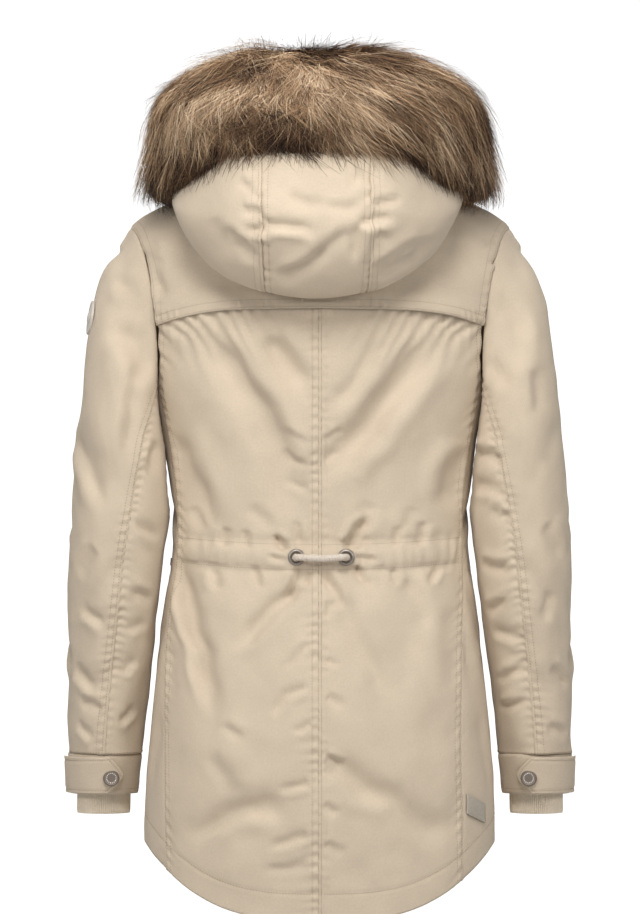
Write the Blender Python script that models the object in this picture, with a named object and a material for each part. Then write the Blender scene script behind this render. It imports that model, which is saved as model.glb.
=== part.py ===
"""Fur trimmed parka, worn shape with nobody inside.

Frame: metres, +Z up, the wearer faces -Y and the wearer's left is +X.
The origin lies between the shoulders, level with the back of the neck.
"""
import math

import bmesh
import bpy
from mathutils import Vector

# ---------------------------------------------------------------- driving dimensions
WALL = 0.0024            # padded twill, shell and lining together
SEAM = 0.0003            # space left between two pieces at a seam
HALF_SEAM = 0.00022
SECTION_POWER = 2.3      # how square the body's cross-section is

# Body rings: height, half width, back depth, front depth
TORSO = [
    (-0.800, 0.1885, 0.133, 0.118),
    (-0.700, 0.1895, 0.136, 0.122),
    (-0.655, 0.1880, 0.137, 0.124),
    (-0.551, 0.1800, 0.133, 0.124),
    (-0.447, 0.1678, 0.117, 0.117),
    (-0.394, 0.1602, 0.104, 0.112),
    (-0.335, 0.1604, 0.104, 0.118),
    (-0.235, 0.1760, 0.117, 0.132),
    (-0.140, 0.1980, 0.122, 0.126),
    (-0.040, 0.2230, 0.118, 0.114),
    (0.060, 0.2350, 0.116, 0.112),
]

# Shoulder line: distance from the middle, height
SHOULDER = [(0.0, 0.045), (0.075, 0.019), (0.130, -0.002), (0.175, -0.0205), (0.206, -0.040), (0.235, -0.075)]
SHOULDER_POWER = 2.1
BACK_ROUNDING = 0.150    # height over which the back rounds over to the shoulder line
FRONT_ROUNDING = 0.220

NECK_HALF_WIDTH = 0.078
NECK_BACK = 0.080
NECK_FRONT = 0.085

ARMHOLE_TOP = -0.040
ARMHOLE_BOTTOM = -0.235
ARMHOLE_BACK = 0.064
ARMHOLE_FRONT = 0.070
SIDE_SEAM_TOP = -0.212   # where the side seams meet the armhole

# Side seams: height, left back, right back, front, each as a share of the half width
SIDE_SEAMS = [
    (-0.800, 0.860, 0.802, 0.830),
    (-0.700, 0.870, 0.803, 0.840),
    (-0.594, 0.905, 0.818, 0.860),
    (-0.486, 0.955, 0.880, 0.900),
    (-0.391, 0.962, 0.957, 0.950),
    (-0.300, 0.960, 0.957, 0.955),
    (-0.212, 0.960, 0.960, 0.955),
]

TAIL = -0.780            # bottom of the back at the centre
SIDE_HEM = -0.700
FRONT_HEM = -0.722
HEM_CURVE = 3.05

YOKE_CENTRE = -0.1305
YOKE_DROP = 0.0175       # the yoke seam falls this much towards the armholes
YOKE_LAP = 0.008
YOKE_HALF_WIDTH = 0.176
YOKE_PROUD = WALL + 0.0026

CASING_LEVEL = -0.3950   # middle of the drawcord casing at the centre back
CASING_HALF = 0.0145
CASING_RISE = 0.008      # it rises this much towards the sides
CASING_PUFF = 0.0045
CASING_SIDE = 0.1537     # where the casing meets the side seams
SHOULDER_TIP = 0.2055

# Large folds of the back: start x, start z, end x, end z, half width, depth (minus is a trough)
FOLDS = [
    (0.118, -0.165, 0.027, -0.335, 0.016, -0.0045),
    (0.052, -0.170, 0.009, -0.225, 0.012, -0.0025),
    (-0.127, -0.170, -0.007, -0.302, 0.016, -0.0040),
    (0.150, -0.420, 0.117, -0.566, 0.014, -0.0060),
    (0.021, -0.430, 0.082, -0.482, 0.012, -0.0030),
    (-0.094, -0.425, -0.085, -0.550, 0.016, -0.0030),
    (0.038, -0.649, 0.145, -0.699, 0.018, -0.0045),
    (-0.017, -0.620, -0.135, -0.688, 0.018, -0.0050),
]
GATHERS = 8              # small gathers below each outer half of the yoke
GATHER_DEPTH = 0.0014
GATHER_LENGTH = 0.030

# Sleeve rings: height, centre x, centre y, half width, half depth
SLEEVE = [
    (-0.700, 0.2350, -0.030, 0.0330, 0.041),
    (-0.652, 0.2341, -0.024, 0.0366, 0.045),
    (-0.606, 0.2324, -0.016, 0.0400, 0.049),
    (-0.550, 0.2299, -0.006, 0.0431, 0.053),
    (-0.447, 0.2225, 0.008, 0.0486, 0.061),
    (-0.395, 0.2190, 0.012, 0.0512, 0.065),
    (-0.343, 0.2147, 0.012, 0.0531, 0.068),
    (-0.235, 0.2100, 0.008, 0.0488, 0.074),
    (-0.140, 0.2000, 0.003, 0.0478, 0.068),
    (-0.040, 0.1960, 0.000, 0.0400, 0.062),
]
SLEEVE_CLEAR = 0.0040    # least space between sleeve and body
SLEEVE_EASE = 0.110      # height over which the armhole opens out to the sleeve
SLEEVE_START = 0.0006
CUFF_TOP = -0.608
CUFF_BOTTOM = -0.652
CUFF_PROUD = 0.0004
RIB_TOP = -0.640
RIB_BOTTOM = -0.6735
RIB_HALF_WIDTH = 0.0283
RIB_HALF_DEPTH = 0.0350
RIB_COUNT = 42
RIB_HEIGHT = 0.0011
RIB_WALL = 0.0016
RIB_CLEAR = 0.0008
RIB_SPREAD = 0.66        # above this share of its height the rib spreads out to the cuff band
# Sleeve seams: height, back seam angle, front seam angle (0 is outside, 90 is the back)
SLEEVE_SEAMS = [
    (-0.608, 90, 250),
    (-0.524, 95, 250),
    (-0.391, 102, 245),
    (-0.313, 113, 240),
    (-0.206, 134, 236),
]
# Large folds of a sleeve: angle and height of both ends, half width, depth
SLEEVE_FOLDS = [
    (60, -0.150, 105, -0.205, 0.012, -0.0035),
    (25, -0.250, 90, -0.330, 0.014, -0.0030),
    (100, -0.400, 40, -0.455, 0.012, -0.0030),
    (120, -0.500, 60, -0.545, 0.011, -0.0025),
    (300, -0.300, 350, -0.360, 0.013, -0.0030),
    (330, -0.420, 280, -0.470, 0.012, -0.0030),
]

HOOD_SHIFT = 0.004       # the hood hangs a little to the wearer's left
# Hood: angle from the back, then three places on the way from the neck seam to the fur
HOOD = [
    (0, (0.000, 0.121, -0.050), (0.000, 0.160, -0.121), (0.000, 0.224, -0.052)),
    (30, (0.052, 0.109, -0.036), (0.075, 0.150, -0.107), (0.082, 0.206, -0.045)),
    (60, (0.088, 0.072, -0.008), (0.126, 0.108, -0.066), (0.144, 0.143, -0.030)),
    (90, (0.100, 0.018, 0.013), (0.126, 0.034, -0.001), (0.148, 0.044, -0.008)),
    (120, (0.074, -0.040, 0.0130), (0.079, -0.037, 0.0140), (0.084, -0.0345, 0.0160)),
    (135, (0.0585, -0.0635, -0.0030), (0.0605, -0.0655, 0.0000), (0.0630, -0.0675, 0.0015)),
    (150, (0.0398, -0.0810, -0.0160), (0.0395, -0.0870, -0.0200), (0.0390, -0.0930, -0.0260)),
]
HOOD_SEAM_ANGLE = 21.0   # the two panel seams, measured from the back
HOOD_END = 150.0
HOOD_START = 0.0015      # space under the hood at the neck seam
HOOD_LIFT = 0.0036       # and further out on the shoulders

# Fur roll: angle from the back, centre x, y, z, half length, half thickness, tilt, sewing angle
FUR = [
    (0, 0.000, 0.178, 0.0915, 0.0600, 0.0600, 0, -60),
    (30, 0.072, 0.168, 0.0900, 0.0600, 0.0600, 0, -62),
    (60, 0.122, 0.118, 0.0730, 0.0590, 0.0560, 8, -75),
    (90, 0.137, 0.045, 0.0555, 0.0590, 0.0460, 24, -55),
    (120, 0.123, -0.046, 0.0500, 0.0540, 0.0430, 20, -118),
    (135, 0.104, -0.095, 0.0200, 0.0500, 0.0440, 8, -150),
    (150, 0.067, -0.127, -0.0200, 0.0440, 0.0440, 0, -165),
]
FUR_GAP = 0.0009
FUR_CAP = 0.012
FUR_CAP_SCALE = 0.72
FUR_SIDES = 12

PLACKET_HALF_WIDTH = 0.029
PLACKET_TOP = -0.034
PLACKET_PROUD = WALL + 0.0018

CORD_DIAMETER = 0.0078
CORD_RISE = 0.0026       # straight stretch of the cord inside an eyelet
CORD_BEND = 0.0056
CORD_SAG = 0.0010
EYELET_LEFT = 0.0252
EYELET_RIGHT = -0.0279
EYELET_LEVEL = -0.3950
EYELET_RADIUS = 0.0090
EYELET_HOLE = 0.0050
EYELET_SEAT = 0.0004     # space under an eyelet on the puffed casing
SNAP_RADIUS = 0.0088
BADGE_RADIUS = 0.0185
BADGE_LEVEL = -0.1385
BADGE_ANGLE = 8.0
BADGE_SEAT = 0.0002
LABEL_LENGTH = 0.030
LABEL_HEIGHT = 0.021


# ---------------------------------------------------------------- small helpers
def smooth(edge0, edge1, x):
    t = min(max((x - edge0) / (edge1 - edge0), 0.0), 1.0)
    return t * t * (3 - 2 * t)


def mix(a, b, t):
    return a + (b - a) * t


def curve(rows, x, column=1):
    """Value of one column of a table at x, through a smooth curve."""
    keys = [row[0] for row in rows]
    if x <= keys[0]:
        return rows[0][column]
    if x >= keys[-1]:
        return rows[-1][column]
    i = max(k for k in range(len(keys) - 1) if keys[k] <= x)
    span = keys[i + 1] - keys[i]
    t = (x - keys[i]) / span

    def slope(k):
        if k == 0 or k == len(keys) - 1:
            a, b = (0, 1) if k == 0 else (k - 1, k)
        else:
            a, b = k - 1, k + 1
        return (rows[b][column] - rows[a][column]) / (keys[b] - keys[a])

    y0, y1 = rows[i][column], rows[i + 1][column]
    m0, m1 = slope(i) * span, slope(i + 1) * span
    t2, t3 = t * t, t * t * t
    return (2 * t3 - 3 * t2 + 1) * y0 + (t3 - 2 * t2 + t) * m0 + (3 * t2 - 2 * t3) * y1 + (t3 - t2) * m1


def clear_scene():
    for obj in list(bpy.data.objects):
        bpy.data.objects.remove(obj, do_unlink=True)
    for mesh in list(bpy.data.meshes):
        bpy.data.meshes.remove(mesh)


def material(name, colour, roughness=0.85, metallic=0.0):
    found = bpy.data.materials.get(name)
    if found:
        return found
    made = bpy.data.materials.new(name)
    made.use_nodes = True
    shader = made.node_tree.nodes["Principled BSDF"]
    shader.inputs["Base Color"].default_value = (*colour, 1.0)
    shader.inputs["Roughness"].default_value = roughness
    shader.inputs["Metallic"].default_value = metallic
    return made


def finish(name, bm, mat, sharp=40.0):
    """Turn a bmesh into the named object."""
    bmesh.ops.recalc_face_normals(bm, faces=bm.faces[:])
    mesh = bpy.data.meshes.new(name)
    bm.to_mesh(mesh)
    bm.free()
    mesh.materials.append(mat)
    mesh.shade_smooth()
    mesh.set_sharp_from_angle(angle=math.radians(sharp))
    obj = bpy.data.objects.new(name, mesh)
    bpy.context.scene.collection.objects.link(obj)
    return obj


def normal_of(surface, u, v):
    """Outward direction of a surface round the body at (u, v), away from the body's middle line."""
    step = 0.0015
    u0, u1 = max(u - step, 0.0), min(u + step, 1.0)
    v0, v1 = max(v - step, 0.0), min(v + step, 1.0)
    du = surface(u1, v) - surface(u0, v)
    dv = surface(u, v1) - surface(u, v0)
    direction = du.cross(dv).normalized()
    if abs(surface(u, v).x) < SEAM:
        direction.x = 0.0
        direction.normalize()
    middle = surface(0.5, 0.5)
    across = (surface(0.52, 0.5) - surface(0.48, 0.5)).cross(surface(0.5, 0.52) - surface(0.5, 0.48))
    return direction if across.dot(Vector((middle.x, middle.y, 0.0))) > 0 else -direction


def wall(name, surface, us, vs, mat, closed=False, thickness=WALL, normal=None, inner=None):
    """A sheet over surface(u, v), given its thickness inwards.

    us and vs are the places of the grid's lines. A closed sheet joins u = 0 to u = 1.
    """
    bm = bmesh.new()
    bmesh.ops.create_grid(bm, x_segments=len(us) - 1, y_segments=len(vs) - 1, size=0.5)
    base = inner or surface
    inside = {}
    for vert in bm.verts:
        u = us[round((vert.co.x + 0.5) * (len(us) - 1))]
        v = vs[round((vert.co.y + 0.5) * (len(vs) - 1))]
        if closed and u == us[-1]:
            u = us[0]
        direction = normal(u, v) if normal else normal_of(base, u, v)
        vert.co = surface(u, v)
        inside[vert.co.copy().freeze()] = base(u, v) - direction * thickness
    if closed:
        bmesh.ops.remove_doubles(bm, verts=bm.verts[:], dist=1e-6)
    made = bmesh.ops.extrude_face_region(bm, geom=bm.faces[:], use_keep_orig=True)
    for item in made["geom"]:
        if isinstance(item, bmesh.types.BMVert):
            item.co = inside[item.co.copy().freeze()]
    return finish(name, bm, mat)


def steps(count):
    return [i / count for i in range(count + 1)]


# ---------------------------------------------------------------- the body's surface
def depth_at(z, front):
    return curve(TORSO, z, 3 if front else 2)


def shoulder_height(x):
    return curve(SHOULDER, abs(x))


def closure(x, z, front):
    rounding = FRONT_ROUNDING if front else BACK_ROUNDING
    t = min(max((shoulder_height(x) - z) / rounding, 0.0), 1.0)
    return (1 - (1 - t) ** SHOULDER_POWER) ** (1 / SHOULDER_POWER)


def body_y(x, z, front=False):
    """Depth of the plain body surface at (x, z)."""
    share = min(abs(x) / curve(TORSO, z), 1.0)
    y = depth_at(z, front) * (1 - share ** SECTION_POWER) ** (1 / SECTION_POWER) * closure(x, z, front)
    return -y if front else y


def body_x(y, z):
    """Half width of the plain body surface at (y, z)."""
    front = y < 0
    low, high = 0.0, curve(TORSO, z)
    for _ in range(36):
        middle = (low + high) / 2
        if abs(body_y(middle, z, front)) > abs(y):
            low = middle
        else:
            high = middle
    return low


def body_z(x, y):
    """Height of the plain body surface above (x, y), near the shoulders."""
    front = y < 0
    high = shoulder_height(x)
    low = high - (FRONT_ROUNDING if front else BACK_ROUNDING)
    for _ in range(36):
        middle = (low + high) / 2
        if abs(body_y(x, middle, front)) > abs(y):
            low = middle
        else:
            high = middle
    return (low + high) / 2


def armhole(angle):
    """A point of the left armhole; 0 is its top and 90 its back edge."""
    turn = math.radians(angle)
    z = mix(ARMHOLE_BOTTOM, ARMHOLE_TOP, (1 + math.cos(turn)) / 2)
    y = math.sin(turn) * (ARMHOLE_BACK if math.sin(turn) > 0 else ARMHOLE_FRONT)
    return Vector((body_x(y, z), y, z))


def armhole_x(z, front):
    share = min(max((z - ARMHOLE_BOTTOM) / (ARMHOLE_TOP - ARMHOLE_BOTTOM), 0.0), 1.0)
    turn = math.acos(min(max(2 * share - 1, -1.0), 1.0))
    y = math.sin(turn) * (-ARMHOLE_FRONT if front else ARMHOLE_BACK)
    return body_x(y, z)


def seam_x(z, side, front):
    column = 3 if front else (1 if side > 0 else 2)
    return curve(SIDE_SEAMS, z, column) * curve(TORSO, z)


def body_normal(x, z, front=False, step=0.004):
    dx = (body_y(x + step, z, front) - body_y(x - step, z, front)) / (2 * step)
    dz = (body_y(x, z + step, front) - body_y(x, z - step, front)) / (2 * step)
    return Vector((-dx, 1, -dz) if not front else (dx, -1, dz)).normalized()


def edge_x(z, side, front):
    """Outer edge of a front or back piece: side seam below, armhole above."""
    if z <= SIDE_SEAM_TOP:
        return seam_x(z, side, front)
    blend = smooth(SIDE_SEAM_TOP, SIDE_SEAM_TOP + 0.012, z)
    return mix(seam_x(SIDE_SEAM_TOP, side, front), armhole_x(z, front), blend)


def neck_edge_z(x, front):
    """Top edge of a piece: shoulder line, or the neck hole near the middle."""
    if abs(x) >= NECK_HALF_WIDTH:
        return shoulder_height(x)
    reach = math.sqrt(1 - (x / NECK_HALF_WIDTH) ** 2)
    return body_z(x, -NECK_FRONT * reach if front else NECK_BACK * reach)


def back_hem(x):
    return TAIL + (SIDE_HEM - TAIL) * min(abs(x) / 0.19, 1.0) ** HEM_CURVE


def front_hem(x):
    return FRONT_HEM + (SIDE_HEM - FRONT_HEM) * min(abs(x) / 0.17, 1.0) ** 2


def yoke_seam(x):
    return YOKE_CENTRE - YOKE_DROP * min(abs(x) / YOKE_HALF_WIDTH, 1.1) ** 4


def casing_level(x):
    return CASING_LEVEL + CASING_RISE * (x / 0.16) ** 2


def fold_height(x, z, rows):
    """Sum of the long folds at (x, z)."""
    total = 0.0
    for x0, z0, x1, z1, width, depth in rows:
        dx, dz = x1 - x0, z1 - z0
        length = math.hypot(dx, dz)
        along = ((x - x0) * dx + (z - z0) * dz) / length ** 2
        if -0.2 < along < 1.2:
            across = ((x - x0) * dz - (z - z0) * dx) / length
            fade = smooth(-0.2, 0.2, along) * (1 - smooth(0.8, 1.2, along))
            total += depth * fade * math.exp(-(across / width) ** 2)
    return total


def casing_puff(x, z):
    place = (z - casing_level(x)) / CASING_HALF
    if abs(place) < 1:
        return CASING_PUFF * math.sqrt(1 - place ** 2)
    return -0.0016 * math.exp(-((abs(place) - 1.0) / 0.5) ** 2)


def gather_wave(x, z):
    """Small gathers hanging from the outer half of the yoke seam."""
    place = (abs(x) - 0.085) / 0.085
    if place <= 0:
        return 0.0
    below = yoke_seam(x) - z
    fade = math.exp(-(below / GATHER_LENGTH) ** 2) * smooth(-0.001, 0.008, below)
    fade *= min(1.0, (1 - place) * 6, place * 6)
    return GATHER_DEPTH * max(fade, 0.0) * math.cos(2 * math.pi * GATHERS * place)


def back_relief(x, z, edge):
    inside = min(1.0, max(0.0, (edge - abs(x)) / 0.012))
    relief = fold_height(x, z, FOLDS) * inside
    return relief + casing_puff(x, z) * min(1.0, inside + 0.35) + gather_wave(x, z)


# ---------------------------------------------------------------- body pieces
# Rows shared by the pieces round the body, so that both sides of a seam have the same points.
# Zone 0 is the skirt, 1 the casing, 2 the body up to the side seams' top, 3 the part above.
LOWER_ROWS = ([(0, t) for t in (0, 0.07, 0.18, 0.32, 0.48, 0.64, 0.80, 0.94)]
              + [(1, t) for t in (0, 0.25, 0.6, 1.0)]
              + [(2, t) for t in (0.22, 0.48, 0.74, 1.0)])
BACK_ROWS = LOWER_ROWS + [(3, t) for t in (0.32, 0.62, 0.85, 1.0)]
FRONT_ROWS = LOWER_ROWS + [(3, t) for t in (0.20, 0.38, 0.54, 0.68, 0.78, 0.86, 0.92, 0.965, 1.0)]
FRONT_COLUMNS = [0.0, 0.15, 0.26, 0.33, 0.365, 0.3786, 0.56, 0.78, 1.0]
BACK_COLUMNS = [0, 0.1, 0.2, 0.3, 0.4] + [0.5 + 0.5 * i / (2 * GATHERS) for i in range(2 * GATHERS + 1)]


def row_height(rows, lines, v):
    """Height of row v, where lines are the heights that bound the zones."""
    last = len(rows) - 1
    index = min(int(v * last), last - 1)
    ends = [mix(lines[zone], lines[zone + 1], t) for zone, t in (rows[index], rows[index + 1])]
    return mix(ends[0], ends[1], v * last - index)


def back_height(x, v):
    level = casing_level(x)
    lines = (back_hem(x), level - CASING_HALF, level + CASING_HALF, SIDE_SEAM_TOP, yoke_seam(x) + YOKE_LAP)
    return row_height(BACK_ROWS, lines, v)


def front_height(x, v):
    level = casing_level(CASING_SIDE)
    lines = (front_hem(x), level - CASING_HALF, level + CASING_HALF, SIDE_SEAM_TOP, neck_edge_z(x, True))
    return row_height(FRONT_ROWS, lines, v)


def outer_edge(height, v, side, front):
    """Where row v of a piece meets its side seam or armhole."""
    edge = 0.17
    for _ in range(5):
        edge = edge_x(height(edge, v), side, front) - HALF_SEAM
    return edge


def back_panel(side, mat):
    """Left or right back, from the hem up to just under the yoke."""
    def surface(u, v):
        edge = outer_edge(back_height, v, side, False)
        x = mix(SEAM / 2, edge, u)
        z = back_height(x, v)
        return Vector((side * x, body_y(x, z) + back_relief(side * x, z, edge), z))

    name = "back_left" if side > 0 else "back_right"
    return wall(name, surface, BACK_COLUMNS, steps(len(BACK_ROWS) - 1), mat)


def yoke_surface(u, v):
    share = 1 - 2 * u
    level = mix(yoke_seam(YOKE_HALF_WIDTH), ARMHOLE_TOP - 0.0002, math.sin(v * math.pi / 2))
    edge = edge_x(level, 1, False) - HALF_SEAM
    x = share * edge
    bottom, top = yoke_seam(x), neck_edge_z(x, False)
    z = mix(bottom, top, math.sin(v * math.pi / 2))
    proud = YOKE_PROUD * (1 - smooth(YOKE_LAP + 0.002, YOKE_LAP + 0.024, z - bottom))
    y = body_y(x, z) + HALF_SEAM + proud
    return Vector((x, y, z))


# Columns from the middle outwards, closer together where the neck hole meets the shoulder line
NECK_COLUMNS = [0.0, 0.11, 0.22, 0.30, 0.35, 0.3786, 0.50, 0.63, 0.76, 0.89, 1.0]


def yoke(mat):
    us = [(1 - s) / 2 for s in reversed(NECK_COLUMNS)] + [(1 + s) / 2 for s in NECK_COLUMNS[1:]]
    return wall("yoke", yoke_surface, us, [0, 0.07, 0.15, 0.25, 0.4, 0.58, 0.78, 1.0], mat)


def upper_place(u, t, side):
    """Point (x, z) of a front piece between the side seam's top and the shoulder line."""
    level = mix(SIDE_SEAM_TOP, ARMHOLE_TOP - 0.0001, t)
    x = mix(SEAM / 2, edge_x(level, side, True) - HALF_SEAM, u)
    top = neck_edge_z(mix(SEAM / 2, SHOULDER_TIP, u), True)
    return x, mix(SIDE_SEAM_TOP, top, t)


def front_panel(side, mat):
    """Left or right front, from the hem to the shoulder and neck."""
    last = len(FRONT_ROWS) - 1
    start = len(LOWER_ROWS) - 1

    def surface(u, v):
        row = v * last
        if row > start + 1e-6:
            index = min(int(row), last - 1)
            ends = [FRONT_ROWS[k][1] if k > start else 0.0 for k in (index, index + 1)]
            x, z = upper_place(u, mix(ends[0], ends[1], row - index), side)
        else:
            x = mix(SEAM / 2, outer_edge(front_height, v, side, True), u)
            z = front_height(x, v)
        return Vector((side * x, body_y(x, z, True) - HALF_SEAM, z))

    name = "front_left" if side > 0 else "front_right"
    return wall(name, surface, FRONT_COLUMNS, steps(len(FRONT_ROWS) - 1), mat)


def side_panel(side, mat):
    """Side panel from the back seam (u = 0) round to the front seam (u = 1)."""
    def surface(u, v):
        z = mix(SIDE_HEM, SIDE_SEAM_TOP, v)
        middle = (ARMHOLE_TOP + ARMHOLE_BOTTOM) / 2
        half = (ARMHOLE_TOP - ARMHOLE_BOTTOM) / 2
        for _ in range(5):
            ends = [body_y(seam_x(z, side, front), z, front) for front in (False, True)]
            y = mix(ends[0] - HALF_SEAM, ends[1] + HALF_SEAM, u)
            reach = ARMHOLE_BACK if y > 0 else ARMHOLE_FRONT
            top = middle - half * math.sqrt(max(0.0, 1 - (y / reach) ** 2)) - SEAM
            top = mix(SIDE_SEAM_TOP, min(top, SIDE_SEAM_TOP), min(1.0, 20 * u, 20 * (1 - u)))
            x = body_x(y, z)
            level = casing_level(CASING_SIDE)
            hem = back_hem(x) if y > 0 else front_hem(x)
            lines = (hem, level - CASING_HALF, level + CASING_HALF, top, top)
            z = row_height(LOWER_ROWS, lines, v)
        return Vector((side * body_x(y, z), y, z))

    name = "side_panel_left" if side > 0 else "side_panel_right"
    return wall(name, surface, [0, 0.08, 0.22, 0.4, 0.6, 0.78, 0.92, 1.0], steps(len(LOWER_ROWS) - 1), mat)


def placket(mat):
    def surface(u, v):
        x = mix(-PLACKET_HALF_WIDTH, PLACKET_HALF_WIDTH, u)
        z = mix(front_hem(x) + 0.001, PLACKET_TOP, v)
        return Vector((x, body_y(x, z, True) - PLACKET_PROUD, z))

    return wall("placket", surface, steps(2), steps(14), mat)


def snap(name, centre, outward, mat, radius=SNAP_RADIUS):
    """A press stud's cap: low rim, shallow dished face with a raised ring."""
    profile = [(0.0, 0.0015), (0.58, 0.0018), (0.80, 0.0024), (0.95, 0.0016), (1.0, 0.0)]
    turned(name, centre, outward, [(radius * r, h) for r, h in profile], 0.0, 16, mat)


def turned(name, centre, outward, profile, base, count, mat):
    """A solid turned about outward: profile rows are radius, height."""
    bm = bmesh.new()
    verts = [bm.verts.new((r, 0.0, h)) for r, h in profile]
    if base is not None:
        verts.append(bm.verts.new((0.0, 0.0, base)))
    edges = [bm.edges.new((a, b)) for a, b in zip(verts, verts[1:])]
    bmesh.ops.spin(bm, geom=verts + edges, cent=(0, 0, 0), axis=(0, 0, 1), angle=2 * math.pi,
                   steps=count, use_merge=True)
    bmesh.ops.remove_doubles(bm, verts=bm.verts[:], dist=1e-6)
    turn = outward.to_track_quat("Z", "Y")
    bmesh.ops.rotate(bm, verts=bm.verts[:], cent=(0, 0, 0), matrix=turn.to_matrix())
    bmesh.ops.translate(bm, verts=bm.verts[:], vec=centre)
    return finish(name, bm, mat, 30)


# ---------------------------------------------------------------- sleeves
def sleeve_ring(z, angle):
    turn = math.radians(angle)
    x = curve(SLEEVE, z, 1) + curve(SLEEVE, z, 3) * math.cos(turn)
    y = curve(SLEEVE, z, 2) + curve(SLEEVE, z, 4) * math.sin(turn)
    return x, y


def sleeve_point(angle, v, relief=True, bottom=CUFF_TOP):
    """Left sleeve: v = 0 at the armhole, v = 1 at the cuff seam."""
    start = armhole(angle)
    z = mix(start.z, bottom, v)
    x, y = sleeve_ring(z, angle)
    ease = min(max((start.z - z) / SLEEVE_EASE, 0.0), 1.0)
    blend = 1 - (1 - ease) ** 2.5
    x = mix(start.x + SLEEVE_START, x, blend)
    y = mix(start.y, y, blend)
    if relief:
        fold = fold_height(math.radians(angle) * 0.06, z,
                           [(math.radians(a0) * 0.06, z0, math.radians(a1) * 0.06, z1, w, d)
                            for a0, z0, a1, z1, w, d in SLEEVE_FOLDS])
        x += fold * math.cos(math.radians(angle)) * blend
        y += fold * math.sin(math.radians(angle)) * blend
    clear = SLEEVE_START + (SLEEVE_CLEAR - SLEEVE_START) * smooth(0.0, 0.05, v)
    x = max(x, body_x(y, z) + clear) if z > -0.50 else x
    return Vector((x, y, z))


def sleeve_normal(angle, v):
    step = 1.2
    du = sleeve_point(angle + step, v, False) - sleeve_point(angle - step, v, False)
    v0, v1 = max(v - 0.006, 0.0), min(v + 0.006, 1.0)
    dv = sleeve_point(angle, v1, False) - sleeve_point(angle, v0, False)
    own = dv.cross(du).normalized()
    start = armhole(angle)
    front = start.y < 0
    if abs(start.y) < 0.002:
        slope = (shoulder_height(start.x + 0.003) - shoulder_height(start.x - 0.003)) / 0.006
        top = Vector((-slope, 0, 1)).normalized()
    else:
        dx = (body_y(start.x + 0.001, start.z, front) - body_y(start.x - 0.001, start.z, front)) / 0.002
        dz = (body_y(start.x, start.z + 0.001, front) - body_y(start.x, start.z - 0.001, front)) / 0.002
        top = Vector((-dx, 1, -dz)).normalized() * (-1 if front else 1)
    weight = smooth(-0.1, 0.5, math.cos(math.radians(angle))) * (1 - smooth(0.0, 0.07, v))
    return (own * (1 - weight) + top * weight).normalized()


def mirrored(point, side):
    return Vector((side * point.x, point.y, point.z))


def sleeve_panel(side, under, mat):
    """The outer sleeve runs round the outside between the two seams, the under sleeve inside."""
    gap = 0.0004 / 0.055

    def angles(v):
        level = mix(-0.206, CUFF_TOP, v)
        back = curve(SLEEVE_SEAMS, level, 1)
        front = curve(SLEEVE_SEAMS, level, 2)
        slip = math.degrees(gap)
        return (back + slip, front - slip) if under else (front - 360 + slip, back - slip)

    def angle_at(u, v):
        start, end = angles(v)
        return mix(start, end, u)

    def surface(u, v):
        return mirrored(sleeve_point(angle_at(u, 1 - v), 1 - v), side)

    def normal(u, v):
        direction = sleeve_normal(angle_at(u, 1 - v), 1 - v)
        return mirrored(direction, side)

    where = "left" if side > 0 else "right"
    name = ("under_sleeve_" if under else "outer_sleeve_") + where
    us = steps(9 if under else 17)
    vs = [0, 0.11, 0.22, 0.33, 0.44, 0.55, 0.66, 0.76, 0.84, 0.90, 0.95, 0.985, 1.0]
    return wall(name, surface, us, vs, mat, normal=normal)


def cuff_point(angle, v, proud=0.0):
    """Cuff band: v = 0 at the cuff seam, v = 1 at its lower edge."""
    z = mix(CUFF_TOP - SEAM, CUFF_BOTTOM, v)
    turn = math.radians(angle)
    x = curve(SLEEVE, z, 1) + (curve(SLEEVE, z, 3) + CUFF_PROUD + proud) * math.cos(turn)
    y = curve(SLEEVE, z, 2) + (curve(SLEEVE, z, 4) + CUFF_PROUD + proud) * math.sin(turn)
    return Vector((x, y, z))


def cuff_band(side, mat):
    def surface(u, v):
        return mirrored(cuff_point(360 * u, 1 - v), side)

    def normal(u, v):
        turn = math.radians(360 * u)
        return Vector((side * math.cos(turn), math.sin(turn), 0.0))

    name = "cuff_left" if side > 0 else "cuff_right"
    return wall(name, surface, steps(24), steps(2), mat, closed=True, normal=normal)


def rib_cuff(side, mat):
    """Ribbed cuff: ridges outside, plain inside, sewn inside the cuff band by its spread top."""
    seat = CUFF_PROUD - WALL - RIB_HEIGHT - RIB_CLEAR
    top = [curve(SLEEVE, RIB_TOP, column) + seat for column in (3, 4)]

    def point(u, v, ridge):
        turn = 2 * math.pi * u
        z = mix(RIB_BOTTOM, RIB_TOP, v)
        spread = smooth(RIB_SPREAD, 1.0, v)
        x = curve(SLEEVE, z, 1) + (mix(RIB_HALF_WIDTH, top[0], spread) + ridge) * math.cos(turn)
        y = curve(SLEEVE, z, 2) + (mix(RIB_HALF_DEPTH, top[1], spread) + ridge) * math.sin(turn)
        return mirrored(Vector((x, y, z)), side)

    def surface(u, v):
        ridge = RIB_HEIGHT if round(u * 2 * RIB_COUNT) % 2 else 0.0
        return point(u, v, ridge)

    def inner(u, v):
        return point(u, v, 0.0)

    def normal(u, v):
        turn = 2 * math.pi * u
        return Vector((side * math.cos(turn), math.sin(turn), 0.0))

    name = "rib_cuff_left" if side > 0 else "rib_cuff_right"
    return wall(name, surface, steps(2 * RIB_COUNT), [0, RIB_SPREAD, 1], mat, closed=True, thickness=RIB_WALL,
                normal=normal, inner=inner)


# Cuff tab outline: angle at the lower edge, upper edge and how far each row reaches (0 is the point)
TAB_PROUD = 0.0031
TAB_START = 8.0
TAB_SHOULDER = 98.0
TAB_POINT = 122.0


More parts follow.
